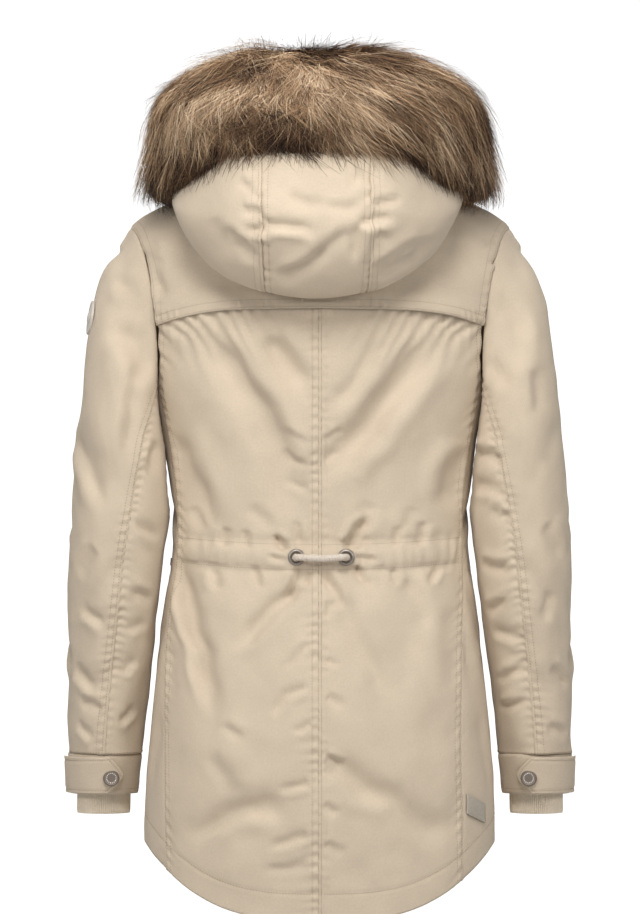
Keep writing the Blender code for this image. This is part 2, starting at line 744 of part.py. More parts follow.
def cuff_tab(side, mat):
    """Pointed tab lying on the cuff band, its point towards the body."""
    def surface(u, v):
        low, high = 0.06, 0.97
        reach = mix(TAB_POINT, TAB_SHOULDER, abs(2 * v - 1) ** 1.3)
        angle = mix(TAB_START, reach, u)
        return mirrored(cuff_point(angle, mix(high, low, v), TAB_PROUD), side)

    def normal(u, v):
        reach = mix(TAB_POINT, TAB_SHOULDER, abs(2 * v - 1) ** 1.3)
        turn = math.radians(mix(TAB_START, reach, u))
        return Vector((side * math.cos(turn), math.sin(turn), 0.0))

    name = "cuff_tab_left" if side > 0 else "cuff_tab_right"
    return wall(name, surface, steps(8), steps(4), mat, thickness=0.0018, normal=normal)


def cuff_snap(side, mat):
    angle = 102.0
    turn = math.radians(angle)
    centre = mirrored(cuff_point(angle, 0.58, TAB_PROUD + 0.0028), side)
    outward = Vector((side * math.cos(turn), math.sin(turn), 0.0))
    snap("cuff_snap_left" if side > 0 else "cuff_snap_right", centre, outward, mat)


def sleeve_badge(mat):
    """Plain round badge with a stud, on the outside of the left upper sleeve."""
    v = (armhole(BADGE_ANGLE).z - BADGE_LEVEL) / (armhole(BADGE_ANGLE).z - CUFF_TOP)
    point = sleeve_point(BADGE_ANGLE, v, False)
    outward = sleeve_normal(BADGE_ANGLE, v)
    radius = BADGE_RADIUS
    profile = [(0.0, 0.0036), (0.0055, 0.0034), (0.0075, 0.0016), (radius - 0.0035, 0.0013), (radius - 0.0018, 0.0020),
               (radius - 0.0004, 0.0014), (radius, 0.0)]
    turned("sleeve_badge", point + outward * BADGE_SEAT, outward, profile, 0.0, 20, mat)


# ---------------------------------------------------------------- hood and fur
def ring_value(rows, angle, column):
    flat = [(row[0], row[column]) for row in rows]
    flat.insert(0, (-rows[1][0], rows[1][column]))
    return curve(flat, abs(angle))


def fur_frame(angle):
    """Centre, outward direction and sizes of the fur roll at an angle from the back."""
    side = 1 if angle >= 0 else -1
    size = abs(angle)
    even = [(-30, -FUR[1][1])] + [(row[0], row[1]) for row in FUR]
    x = curve(even, size)
    y, z, half_length, half_thick, tilt, sewing = (ring_value(FUR, size, k) for k in range(2, 8))
    step = 1.0
    ahead = (curve(even, size + step), ring_value(FUR, size + step, 2))
    behind = (curve(even, size - step), ring_value(FUR, size - step, 2))
    if size >= 149:
        ahead = (x, y)
    tangent = Vector((ahead[0] - behind[0], ahead[1] - behind[1], 0)).normalized()
    outward = Vector((-tangent.y, tangent.x, 0))
    centre = Vector((side * x + HOOD_SHIFT * smooth(120, 60, size) * 1.0, y, z))
    outward.x *= side
    return centre, outward, half_length, half_thick, math.radians(tilt), sewing


def fur_point(angle, turn, grow=0.0):
    """Point of the fur roll's skin; turn is measured from outwards, up being 90."""
    centre, outward, length, thick, tilt, _ = fur_frame(angle)
    a = (length + grow) * math.cos(math.radians(turn))
    b = (thick + grow) * math.sin(math.radians(turn))
    out = a * math.cos(tilt) + b * math.sin(tilt)
    up = b * math.cos(tilt) - a * math.sin(tilt)
    return centre + outward * out + Vector((0, 0, up))


def fur_gap(angle):
    """Space between the hood's outer face and the fur; the cloth lies in it where the fur rests on the shoulder."""
    return mix(FUR_GAP, WALL + 2 * FUR_GAP, smooth(55, 85, abs(angle)))


def clear_of_fur(point, angle):
    """Move a point of the hood straight out of the fur roll."""
    centre, outward, length, thick, tilt, _ = fur_frame(angle)
    gap = fur_gap(angle)
    offset = point - centre
    out = offset.x * outward.x + offset.y * outward.y
    across = out * math.cos(tilt) - offset.z * math.sin(tilt)
    up = out * math.sin(tilt) + offset.z * math.cos(tilt)
    share = math.hypot(across / (length + gap), up / (thick + gap))
    if share >= 1:
        return point
    across, up = across / share, up / share
    moved = across * math.cos(tilt) + up * math.sin(tilt)
    lifted = up * math.cos(tilt) - across * math.sin(tilt)
    return point + outward * (moved - out) + Vector((0, 0, lifted - offset.z))


def neck_seam(angle):
    """Where the hood starts, on the body just outside the neck hole."""
    turn = math.radians(angle)
    reach = NECK_BACK if abs(angle) < 90 else NECK_FRONT
    x = (NECK_HALF_WIDTH + 0.002) * math.sin(turn)
    y = (reach + 0.002) * math.cos(turn)
    return Vector((x, y, body_z(x, y) + HOOD_START))


def hood_guides(angle):
    side = 1 if angle >= 0 else -1
    size = abs(angle)
    guides = [neck_seam(angle)]
    shift = HOOD_SHIFT * smooth(120, 60, size)
    for place in (1, 2, 3):
        rows = [(row[0], *row[place]) for row in HOOD]
        even = [(-30, -rows[1][1])] + [(row[0], row[1]) for row in rows]
        x = curve(even, size)
        y = ring_value(rows, size, 2)
        z = ring_value(rows, size, 3)
        guides.append(Vector((side * x + shift, y, z)))
    sewing = fur_frame(angle)[5]
    guides.append(fur_point(angle, sewing, fur_gap(angle)))
    return guides


def hood_point(angle, v):
    """Hood surface: v = 0 at the neck seam, v = 1 at the fur."""
    guides = hood_guides(angle)
    lengths = [0.0]
    for a, b in zip(guides, guides[1:]):
        lengths.append(lengths[-1] + (b - a).length)
    rows = [[length / lengths[-1], *guide] for length, guide in zip(lengths, guides)]
    x, y, z = (curve(rows, v, k) for k in (1, 2, 3))
    lift = HOOD_START + (HOOD_LIFT - HOOD_START) * smooth(0.0, 0.15, v)
    if y > 0.03:
        y = max(y, body_y(x, z) + lift + YOKE_PROUD * smooth(-0.06, -0.10, z))
    x, y, z = clear_of_fur(Vector((x, y, z)), angle)
    if abs(y) < 0.09:
        z = max(z, body_z(x, y) + lift)
    return Vector((x, y, z))


def hood_normal(angle, v):
    """Direction from the hood's outer face into its pouch."""
    step = 1.5
    du = hood_point(angle + step, v) - hood_point(angle - step, v)
    v0, v1 = max(v - 0.02, 0.0), min(v + 0.02, 1.0)
    dv = hood_point(angle, v1) - hood_point(angle, v0)
    return du.cross(dv).normalized()


HOOD_CENTRE_COLUMNS = 6
HOOD_SIDE_COLUMNS = 12


def hood_angles():
    """Every column of the hood from the right front round the back to the left front."""
    side = [mix(HOOD_SEAM_ANGLE, HOOD_END, t) for t in steps(HOOD_SIDE_COLUMNS)]
    centre = [mix(-HOOD_SEAM_ANGLE, HOOD_SEAM_ANGLE, t) for t in steps(HOOD_CENTRE_COLUMNS)]
    return [-angle for angle in reversed(side)] + centre[1:-1] + side


def hood_panel(name, first, last, columns, mat):
    slip = 0.10

    def surface(u, v):
        return hood_point(mix(first + slip, last - slip, u), v)

    def normal(u, v):
        return -hood_normal(mix(first + slip, last - slip, u), v)

    return wall(name, surface, steps(columns), steps(14), mat, normal=normal)


def hood_tab(mat):
    """Short folded strap under the bottom of the hood."""
    def surface(u, v):
        x = mix(-0.0218, 0.0198, u)
        z = mix(-0.1270, -0.0950, v)
        y = body_y(x, z) + 2 * WALL + 0.0022
        return Vector((-x, y, z))

    return wall("hood_tab", surface, steps(3), steps(2), mat, thickness=0.0016)


def fur_roll(mat):
    """Closed roll of fur round the hood's edge, with rounded ends."""
    bm = bmesh.new()

    def ring(angle, scale, push):
        centre, outward, *_, sewing = fur_frame(angle)
        along = Vector((outward.y, -outward.x, 0))
        verts = []
        for k in range(FUR_SIDES):
            point = fur_point(angle, sewing + 360 * k / FUR_SIDES)
            verts.append(bm.verts.new(centre + (point - centre) * scale + along * push))
        return verts

    rings = [ring(-HOOD_END, FUR_CAP_SCALE, -FUR_CAP)]
    rings += [ring(angle, 1.0, 0.0) for angle in hood_angles()]
    rings.append(ring(HOOD_END, FUR_CAP_SCALE, FUR_CAP))
    for a, b in zip(rings, rings[1:]):
        for k in range(FUR_SIDES):
            after = (k + 1) % FUR_SIDES
            bm.faces.new((a[k], a[after], b[after], b[k]))
    bm.faces.new(rings[0])
    bm.faces.new(rings[-1])
    return finish("fur_trim", bm, mat, 60)


# ---------------------------------------------------------------- trim of the back
def back_face(x, z):
    """Outer face of the back piece at (x, z)."""
    edge = edge_x(z, 1 if x > 0 else -1, False)
    return body_y(x, z) + back_relief(x, z, edge)


def back_facing(x, z, step=0.006):
    dx = (back_face(x + step, z) - back_face(x - step, z)) / (2 * step)
    dz = (back_face(x, z + step) - back_face(x, z - step)) / (2 * step)
    return Vector((-dx, 1, -dz)).normalized()


def eyelet(name, x, mat):
    """Metal eyelet: a rounded ring with a collar through it."""
    profile = []
    rows = 6
    middle = (EYELET_RADIUS + EYELET_HOLE) / 2
    half = (EYELET_RADIUS - EYELET_HOLE) / 2
    for k in range(rows):
        turn = 2 * math.pi * k / rows
        profile.append((middle + half * math.cos(turn), 0.0010 + 0.0009 * math.sin(turn)))
    profile.append(profile[0])
    outward = back_facing(x, EYELET_LEVEL)
    centre = Vector((x, back_face(x, EYELET_LEVEL) + EYELET_SEAT, EYELET_LEVEL))
    return turned(name, centre, outward, profile, None, 16, mat)


def cord_route():
    """The drawcord rises out of one eyelet, lies along the casing and dips into the other."""
    half = CORD_DIAMETER / 2
    face = max(back_face(x, EYELET_LEVEL + z) for x in (EYELET_LEFT, 0.0, EYELET_RIGHT) for z in (-half, 0.0))
    start = face + EYELET_SEAT
    top = start + CORD_RISE + CORD_BEND
    points = []
    for x, side in ((EYELET_LEFT, 1), (EYELET_RIGHT, -1)):
        end = [Vector((x, start, EYELET_LEVEL)), Vector((x, start + CORD_RISE, EYELET_LEVEL))]
        for turn in (22.5, 45, 67.5, 90):
            angle = math.radians(turn)
            end.append(Vector((x - side * CORD_BEND * (1 - math.cos(angle)),
                               start + CORD_RISE + CORD_BEND * math.sin(angle), EYELET_LEVEL)))
        end.append(Vector((x - side * 0.0125, top, EYELET_LEVEL - CORD_SAG * 0.6)))
        points += end if side > 0 else list(reversed(end))
        if side > 0:
            points += [Vector((0.003, top, EYELET_LEVEL - CORD_SAG)), Vector((-0.006, top, EYELET_LEVEL - CORD_SAG))]
    return points


def smooth_route(route, count):
    lengths = [0.0]
    for a, b in zip(route, route[1:]):
        lengths.append(lengths[-1] + (b - a).length)
    rows = [[length, *point] for length, point in zip(lengths, route)]
    return [Vector([curve(rows, lengths[-1] * k / count, c) for c in (1, 2, 3)]) for k in range(count + 1)]


def drawcord(mat):
    points = smooth_route(cord_route(), 26)
    data = bpy.data.curves.new("drawcord", "CURVE")
    data.dimensions = "3D"
    data.bevel_depth = CORD_DIAMETER / 2
    data.bevel_resolution = 2
    data.use_fill_caps = True
    spline = data.splines.new("POLY")
    spline.points.add(len(points) - 1)
    for target, point in zip(spline.points, points):
        target.co = (*point, 1.0)
    data.materials.append(mat)
    obj = bpy.data.objects.new("drawcord", data)
    bpy.context.scene.collection.objects.link(obj)
    return obj


def hem_label(mat):
    """Plain label sewn to the right side panel near the hem, leaning a little."""
    centre = Vector((-0.1655, 0, -0.6640))
    slant = math.radians(-22)

    def surface(u, v):
        across = (u - 0.5) * LABEL_LENGTH
        up = (v - 0.5) * LABEL_HEIGHT
        z = centre.z + up + across * math.sin(slant)
        x = abs(centre.x) + across * math.cos(slant) * 0.72
        lifted = Vector((x, body_y(x, z), z)) + body_normal(x, z) * 0.0020
        return mirrored(lifted, -1)

    return wall("hem_label", surface, steps(4), steps(2), mat, thickness=0.0010)


# ---------------------------------------------------------------- the whole garment
def build():
    clear_scene()
    cloth = material("twill", (0.62, 0.51, 0.38))
    rib = material("rib_knit", (0.52, 0.41, 0.28), 0.95)
    fur = material("fur", (0.34, 0.24, 0.16), 0.95)
    metal = material("metal", (0.25, 0.22, 0.19), 0.35, 1.0)
    cord = material("cord", (0.55, 0.46, 0.36), 0.9)
    patch = material("patch", (0.36, 0.32, 0.26), 0.8)

    for side in (1, -1):
        back_panel(side, cloth)
        front_panel(side, cloth)
        side_panel(side, cloth)
        sleeve_panel(side, False, cloth)
        sleeve_panel(side, True, cloth)
        cuff_band(side, cloth)
        rib_cuff(side, rib)
        cuff_tab(side, cloth)
        cuff_snap(side, metal)
    yoke(cloth)
    placket(cloth)
    hood_panel("hood_centre", -HOOD_SEAM_ANGLE, HOOD_SEAM_ANGLE, HOOD_CENTRE_COLUMNS, cloth)
    hood_panel("hood_side_left", HOOD_SEAM_ANGLE, HOOD_END, HOOD_SIDE_COLUMNS, cloth)
    hood_panel("hood_side_right", -HOOD_END, -HOOD_SEAM_ANGLE, HOOD_SIDE_COLUMNS, cloth)
    hood_tab(cloth)
    fur_roll(fur)
    eyelet("eyelet_left", EYELET_LEFT, metal)
    eyelet("eyelet_right", EYELET_RIGHT, metal)
    drawcord(cord)
    hem_label(patch)
    sleeve_badge(metal)


build()
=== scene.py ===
"""Fur trimmed parka: cloth, fur, trims and a plain studio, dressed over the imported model.

Frame: metres, +Z up, the wearer faces -Y and the wearer's left is +X.
The tables of the body, sleeves, hood and fur are the ones the solids are made from.
"""
import math

import bmesh
import bpy
import numpy as np
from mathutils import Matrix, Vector, kdtree


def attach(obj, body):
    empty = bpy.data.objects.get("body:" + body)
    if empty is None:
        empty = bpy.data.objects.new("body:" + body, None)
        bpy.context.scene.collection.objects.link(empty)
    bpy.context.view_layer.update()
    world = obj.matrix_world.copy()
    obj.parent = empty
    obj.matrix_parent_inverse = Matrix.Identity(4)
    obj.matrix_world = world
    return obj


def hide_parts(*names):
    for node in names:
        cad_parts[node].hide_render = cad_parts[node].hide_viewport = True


bl_info = {
    "name": "Fur trimmed parka",
    "version": (1, 0, 0),
    "blender": (4, 5, 0),
    "location": "View3D > Sidebar > Parka",
    "description": "Dresses the parka's solids with cloth, stitching, fur and trims",
    "category": "Object",
}

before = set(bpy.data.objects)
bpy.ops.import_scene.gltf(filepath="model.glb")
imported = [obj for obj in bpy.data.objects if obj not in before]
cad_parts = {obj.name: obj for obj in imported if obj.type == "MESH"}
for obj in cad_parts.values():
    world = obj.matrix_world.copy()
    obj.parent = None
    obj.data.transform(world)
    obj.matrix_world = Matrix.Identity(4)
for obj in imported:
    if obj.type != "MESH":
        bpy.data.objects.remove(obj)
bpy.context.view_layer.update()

# ---------------------------------------------------------------- driving dimensions
WALL = 0.0024
SEAM = 0.0003
HALF_SEAM = 0.00022
SECTION_POWER = 2.3
SHELL = 0.0016           # thickness of a cloth shell

# Body rings: height, half width, back depth, front depth
TORSO = [
    (-0.800, 0.1885, 0.133, 0.118),
    (-0.700, 0.1895, 0.136, 0.122),
    (-0.655, 0.1880, 0.137, 0.124),
    (-0.551, 0.1800, 0.133, 0.124),
    (-0.447, 0.1678, 0.117, 0.117),
    (-0.394, 0.1602, 0.104, 0.112),
    (-0.335, 0.1604, 0.104, 0.118),
    (-0.235, 0.1760, 0.117, 0.132),
    (-0.140, 0.1980, 0.122, 0.126),
    (-0.040, 0.2230, 0.118, 0.114),
    (0.060, 0.2350, 0.116, 0.112),
]
# Shoulder line: distance from the middle, height
SHOULDER = [(0.0, 0.045), (0.075, 0.019), (0.130, -0.002), (0.175, -0.0205), (0.206, -0.040), (0.235, -0.075)]
SHOULDER_POWER = 2.1
BACK_ROUNDING = 0.150
FRONT_ROUNDING = 0.220
NECK_HALF_WIDTH = 0.078
NECK_BACK = 0.080
NECK_FRONT = 0.085
ARMHOLE_TOP = -0.040
ARMHOLE_BOTTOM = -0.235
ARMHOLE_BACK = 0.064
ARMHOLE_FRONT = 0.070
SIDE_SEAM_TOP = -0.212
SHOULDER_TIP = 0.2055
# Side seams: height, left back, right back, front, each as a share of the half width
SIDE_SEAMS = [
    (-0.800, 0.860, 0.802, 0.830),
    (-0.700, 0.870, 0.803, 0.840),
    (-0.594, 0.905, 0.818, 0.860),
    (-0.486, 0.955, 0.880, 0.900),
    (-0.391, 0.962, 0.957, 0.950),
    (-0.300, 0.960, 0.957, 0.955),
    (-0.212, 0.960, 0.960, 0.955),
]
TAIL = -0.780
SIDE_HEM = -0.700
FRONT_HEM = -0.722
HEM_CURVE = 3.05
YOKE_CENTRE = -0.1305
YOKE_DROP = 0.0175
YOKE_LAP = 0.008
YOKE_HALF_WIDTH = 0.176
YOKE_PROUD = WALL + 0.0026
CASING_LEVEL = -0.3950
CASING_HALF = 0.0145
CASING_RISE = 0.008
CASING_PUFF = 0.0045
GATHERS = 8
GATHER_DEPTH = 0.0014
GATHER_LENGTH = 0.030

# Large folds of the back: start x, start z, end x, end z, half width, depth (minus is a trough)
FOLDS = [
    (0.118, -0.165, 0.027, -0.335, 0.016, -0.0045),
    (0.052, -0.170, 0.009, -0.225, 0.012, -0.0025),
    (-0.127, -0.170, -0.007, -0.302, 0.016, -0.0040),
    (0.150, -0.420, 0.117, -0.566, 0.014, -0.0060),
    (0.021, -0.430, 0.082, -0.482, 0.012, -0.0030),
    (-0.094, -0.425, -0.085, -0.550, 0.016, -0.0030),
    (0.038, -0.649, 0.145, -0.699, 0.018, -0.0045),
    (-0.017, -0.620, -0.135, -0.688, 0.018, -0.0050),
]

# Sleeve rings: height, centre x, centre y, half width, half depth
SLEEVE = [
    (-0.700, 0.2350, -0.030, 0.0330, 0.041),
    (-0.652, 0.2341, -0.024, 0.0366, 0.045),
    (-0.606, 0.2324, -0.016, 0.0400, 0.049),
    (-0.550, 0.2299, -0.006, 0.0431, 0.053),
    (-0.447, 0.2225, 0.008, 0.0486, 0.061),
    (-0.395, 0.2190, 0.012, 0.0512, 0.065),
    (-0.343, 0.2147, 0.012, 0.0531, 0.068),
    (-0.235, 0.2100, 0.008, 0.0488, 0.074),
    (-0.140, 0.2000, 0.003, 0.0478, 0.068),
    (-0.040, 0.1960, 0.000, 0.0400, 0.062),
]
SLEEVE_CLEAR = 0.0040
SLEEVE_EASE = 0.110
SLEEVE_START = 0.0006
SHOULDER_CORNER = (0.2214, -0.0560)
SHOULDER_EASE = 0.0062
SLEEVE_SCALE = 0.06      # metres of cloth for each radian round a sleeve
CUFF_TOP = -0.608
CUFF_BOTTOM = -0.652
CUFF_PROUD = 0.0004
RIB_TOP = -0.640
RIB_BOTTOM = -0.6735
RIB_HALF_WIDTH = 0.0283
RIB_HALF_DEPTH = 0.0350
RIB_COUNT = 84
RIB_HEIGHT = 0.0011
RIB_CLEAR = 0.0008
RIB_SPREAD = 0.66
# Sleeve seams: height, back seam angle, front seam angle (0 is outside, 90 is the back)
SLEEVE_SEAMS = [
    (-0.608, 90, 250),
    (-0.524, 95, 250),
    (-0.391, 102, 245),
    (-0.313, 113, 240),
    (-0.206, 134, 236),
]
# Large folds of a sleeve: angle and height of both ends, half width, depth
SLEEVE_FOLDS = [
    (60, -0.150, 105, -0.205, 0.012, -0.0035),
    (25, -0.250, 90, -0.330, 0.014, -0.0030),
    (100, -0.400, 40, -0.455, 0.012, -0.0030),
    (120, -0.500, 60, -0.545, 0.011, -0.0025),
    (300, -0.300, 350, -0.360, 0.013, -0.0030),
    (330, -0.420, 280, -0.470, 0.012, -0.0030),
]
TAB_PROUD = 0.0031
TAB_START = 8.0
TAB_SHOULDER = 98.0
TAB_POINT = 122.0
TAB_THICKNESS = 0.0018

HOOD_SHIFT = 0.004
# Hood: angle from the back, then three places on the way from the neck seam to the fur
HOOD = [
    (0, (0.000, 0.121, -0.050), (0.000, 0.160, -0.121), (0.000, 0.224, -0.052)),
    (30, (0.052, 0.109, -0.036), (0.075, 0.150, -0.107), (0.082, 0.206, -0.045)),
    (60, (0.088, 0.072, -0.008), (0.126, 0.108, -0.066), (0.144, 0.143, -0.030)),
    (90, (0.100, 0.018, 0.013), (0.126, 0.034, -0.001), (0.148, 0.044, -0.008)),
    (120, (0.074, -0.040, 0.0130), (0.079, -0.037, 0.0140), (0.084, -0.0345, 0.0160)),
    (135, (0.0585, -0.0635, -0.0030), (0.0605, -0.0655, 0.0000), (0.0630, -0.0675, 0.0015)),
    (150, (0.0398, -0.0810, -0.0160), (0.0395, -0.0870, -0.0200), (0.0390, -0.0930, -0.0260)),
]
HOOD_SEAM_ANGLE = 21.0
HOOD_END = 150.0
HOOD_START = 0.0015
HOOD_LIFT = 0.0036
HOOD_SLIP = 0.02
# Fur roll: angle from the back, centre x, y, z, half length, half thickness, tilt, sewing angle
FUR = [
    (0, 0.000, 0.178, 0.0915, 0.0600, 0.0600, 0, -60),
    (30, 0.072, 0.168, 0.0900, 0.0600, 0.0600, 0, -62),
    (60, 0.122, 0.118, 0.0730, 0.0590, 0.0560, 8, -75),
    (90, 0.137, 0.045, 0.0555, 0.0590, 0.0460, 24, -55),
    (120, 0.123, -0.046, 0.0500, 0.0540, 0.0430, 20, -118),
    (135, 0.104, -0.095, 0.0200, 0.0500, 0.0440, 8, -150),
    (150, 0.067, -0.127, -0.0200, 0.0440, 0.0440, 0, -165),
]
FUR_GAP = 0.0009

PLACKET_HALF_WIDTH = 0.029
PLACKET_TOP = -0.034
PLACKET_PROUD = WALL + 0.0018
SNAP_RADIUS = 0.0088
EYELET_LEFT = 0.0252
EYELET_RIGHT = -0.0279
EYELET_LEVEL = -0.3950
EYELET_RADIUS = 0.0090
EYELET_HOLE = 0.0050
EYELET_SEAT = 0.0004
CORD_DIAMETER = 0.0078
CORD_RISE = 0.0026
CORD_BEND = 0.0056
CORD_SAG = 0.0010
BADGE_RADIUS = 0.0185
BADGE_LEVEL = -0.1385
BADGE_ANGLE = 8.0
BADGE_SEAT = 0.0002
LABEL_LENGTH = 0.030
LABEL_HEIGHT = 0.021

# Seam finish
HEM_BAND = 0.0285        # hem stitching above the edge
TWIN_ROW = 0.0082        # second row of stitching beside a seam
STITCH_PITCH = 0.0032
STITCH_LENGTH = 0.0023
STITCH_WIDTH = 0.00075


# ---------------------------------------------------------------- curves and noise
def smooth(edge0, edge1, x):
    t = np.clip((np.asarray(x, float) - edge0) / (edge1 - edge0), 0.0, 1.0)
    return t * t * (3 - 2 * t)


def mix(a, b, t):
    return a + (b - a) * t


def bell(x):
    return np.exp(-np.square(x))


def curve(rows, x, column=1):
    """Values of one column of a table at x, through a smooth curve."""
    keys = np.array([row[0] for row in rows], float)
    values = np.array([row[column] for row in rows], float)
    slopes = np.gradient(values, keys) if len(keys) < 3 else np.empty(len(keys))
    slopes[0] = (values[1] - values[0]) / (keys[1] - keys[0])
    slopes[-1] = (values[-1] - values[-2]) / (keys[-1] - keys[-2])
    slopes[1:-1] = (values[2:] - values[:-2]) / (keys[2:] - keys[:-2])
    x = np.clip(x, keys[0], keys[-1])
    i = np.clip(np.searchsorted(keys, x, side="right") - 1, 0, len(keys) - 2)
    span = keys[i + 1] - keys[i]
    t = (x - keys[i]) / span
    t2, t3 = t * t, t * t * t
    start, end = values[i], values[i + 1]
    return ((2 * t3 - 3 * t2 + 1) * start + (t3 - 2 * t2 + t) * slopes[i] * span
            + (3 * t2 - 2 * t3) * end + (t3 - t2) * slopes[i + 1] * span)


def cloud(x, y, size, seed):
    """Smooth noise from -1 to 1 over (x, y), with features of the given size."""
    x, y = np.broadcast_arrays(np.asarray(x, float) / size, np.asarray(y, float) / size)
    lattice = np.random.default_rng(seed).uniform(-1, 1, (64, 64))
    column, row = np.floor(x).astype(int), np.floor(y).astype(int)
    a, b = smooth(0, 1, x - column), smooth(0, 1, y - row)
    corner = [[lattice[(row + i) % 64, (column + j) % 64] for j in (0, 1)] for i in (0, 1)]
    return mix(mix(corner[0][0], corner[0][1], a), mix(corner[1][0], corner[1][1], a), b)


def unit(vectors):
    length = np.linalg.norm(vectors, axis=-1, keepdims=True)
    return vectors / np.maximum(length, 1e-12)


def points(x, y, z):
    return np.stack(np.broadcast_arrays(x, y, z), axis=-1).astype(float)


# ---------------------------------------------------------------- the body's surface
def shoulder_height(x):
    return curve(SHOULDER, np.abs(x))


def closure(x, z, front):
    t = np.clip((shoulder_height(x) - z) / np.where(front, FRONT_ROUNDING, BACK_ROUNDING), 0.0, 1.0)
    return (1 - (1 - t) ** SHOULDER_POWER) ** (1 / SHOULDER_POWER)


def body_y(x, z, front=False):
    share = np.minimum(np.abs(x) / curve(TORSO, z), 1.0)
    depth = np.where(front, curve(TORSO, z, 3), curve(TORSO, z, 2))
    y = depth * (1 - share ** SECTION_POWER) ** (1 / SECTION_POWER) * closure(x, z, front)
    return np.where(front, -y, y)


def body_x(y, z):
    y, z = np.broadcast_arrays(np.asarray(y, float), np.asarray(z, float))
    low, high = np.zeros(y.shape), curve(TORSO, z)
    for _ in range(30):
        middle = (low + high) / 2
        wide = np.abs(body_y(middle, z, y < 0)) > np.abs(y)
        low, high = np.where(wide, middle, low), np.where(wide, high, middle)
    return low


def body_z(x, y):
    x, y = np.broadcast_arrays(np.asarray(x, float), np.asarray(y, float))
    high = shoulder_height(x)
    low = high - np.where(y < 0, FRONT_ROUNDING, BACK_ROUNDING)
    for _ in range(30):
        middle = (low + high) / 2
        deep = np.abs(body_y(x, middle, y < 0)) > np.abs(y)
        low, high = np.where(deep, middle, low), np.where(deep, high, middle)
    return (low + high) / 2


def armhole(angle):
    turn = np.radians(angle)
    z = mix(ARMHOLE_BOTTOM, ARMHOLE_TOP, (1 + np.cos(turn)) / 2)
    y = np.sin(turn) * np.where(np.sin(turn) > 0, ARMHOLE_BACK, ARMHOLE_FRONT)
    return points(body_x(y, z), y, z)


def armhole_x(z, front):
    share = np.clip((z - ARMHOLE_BOTTOM) / (ARMHOLE_TOP - ARMHOLE_BOTTOM), 0.0, 1.0)
    turn = np.arccos(np.clip(2 * share - 1, -1.0, 1.0))
    return body_x(np.sin(turn) * (-ARMHOLE_FRONT if front else ARMHOLE_BACK), z)


def seam_x(z, side, front):
    column = 3 if front else (1 if side > 0 else 2)
    return curve(SIDE_SEAMS, z, column) * curve(TORSO, z)


def edge_x(z, side, front):
    blend = smooth(SIDE_SEAM_TOP, SIDE_SEAM_TOP + 0.012, z)
    upper = armhole_x(np.maximum(z, SIDE_SEAM_TOP), front)
    return np.where(z <= SIDE_SEAM_TOP, seam_x(z, side, front),
                    mix(seam_x(SIDE_SEAM_TOP, side, front), upper, blend))


def neck_edge_z(x, front):
    reach = np.sqrt(np.maximum(1 - (np.minimum(np.abs(x), NECK_HALF_WIDTH) / NECK_HALF_WIDTH) ** 2, 0.0))
    inner = body_z(x, (-NECK_FRONT if front else NECK_BACK) * np.maximum(reach, 1e-4))
    return np.where(np.abs(x) >= NECK_HALF_WIDTH, shoulder_height(x), inner)


def back_hem(x):
    return TAIL + (SIDE_HEM - TAIL) * np.minimum(np.abs(x) / 0.19, 1.0) ** HEM_CURVE


def front_hem(x):
    return FRONT_HEM + (SIDE_HEM - FRONT_HEM) * np.minimum(np.abs(x) / 0.17, 1.0) ** 2


def yoke_seam(x):
    return YOKE_CENTRE - YOKE_DROP * np.minimum(np.abs(x) / YOKE_HALF_WIDTH, 1.1) ** 4


def casing_level(x):
    return CASING_LEVEL + CASING_RISE * (x / 0.16) ** 2


def fold_height(x, z, rows):
    total = 0.0
    for x0, z0, x1, z1, width, depth in rows:
        dx, dz = x1 - x0, z1 - z0
        length = math.hypot(dx, dz)
        along = ((x - x0) * dx + (z - z0) * dz) / length ** 2
        across = ((x - x0) * dz - (z - z0) * dx) / length
        fade = smooth(-0.2, 0.2, along) * (1 - smooth(0.8, 1.2, along))
        total = total + depth * fade * bell(across / width)
    return total


def casing_puff(x, z):
    place = (z - casing_level(x)) / CASING_HALF
    puff = CASING_PUFF * np.sqrt(np.maximum(1 - place ** 2, 0.0))
    return np.where(np.abs(place) < 1, puff, -0.0016 * bell((np.abs(place) - 1.0) / 0.5))


def gather_wave(x, z):
    place = (np.abs(x) - 0.085) / 0.085
    below = yoke_seam(x) - z
    fade = bell(below / GATHER_LENGTH) * smooth(-0.001, 0.008, below)
    fade = fade * np.clip(np.minimum((1 - place) * 6, place * 6), 0.0, 1.0)
    return GATHER_DEPTH * fade * np.cos(2 * math.pi * GATHERS * place)


def back_relief(x, z, edge):
    inside = np.clip((edge - np.abs(x)) / 0.012, 0.0, 1.0)
    relief = fold_height(x, z, FOLDS) * inside
    return relief + casing_puff(x, z) * np.minimum(1.0, inside + 0.35) + gather_wave(x, z)


def back_face(x, z):
    return body_y(x, z) + back_relief(x, z, edge_x(z, 1, False))


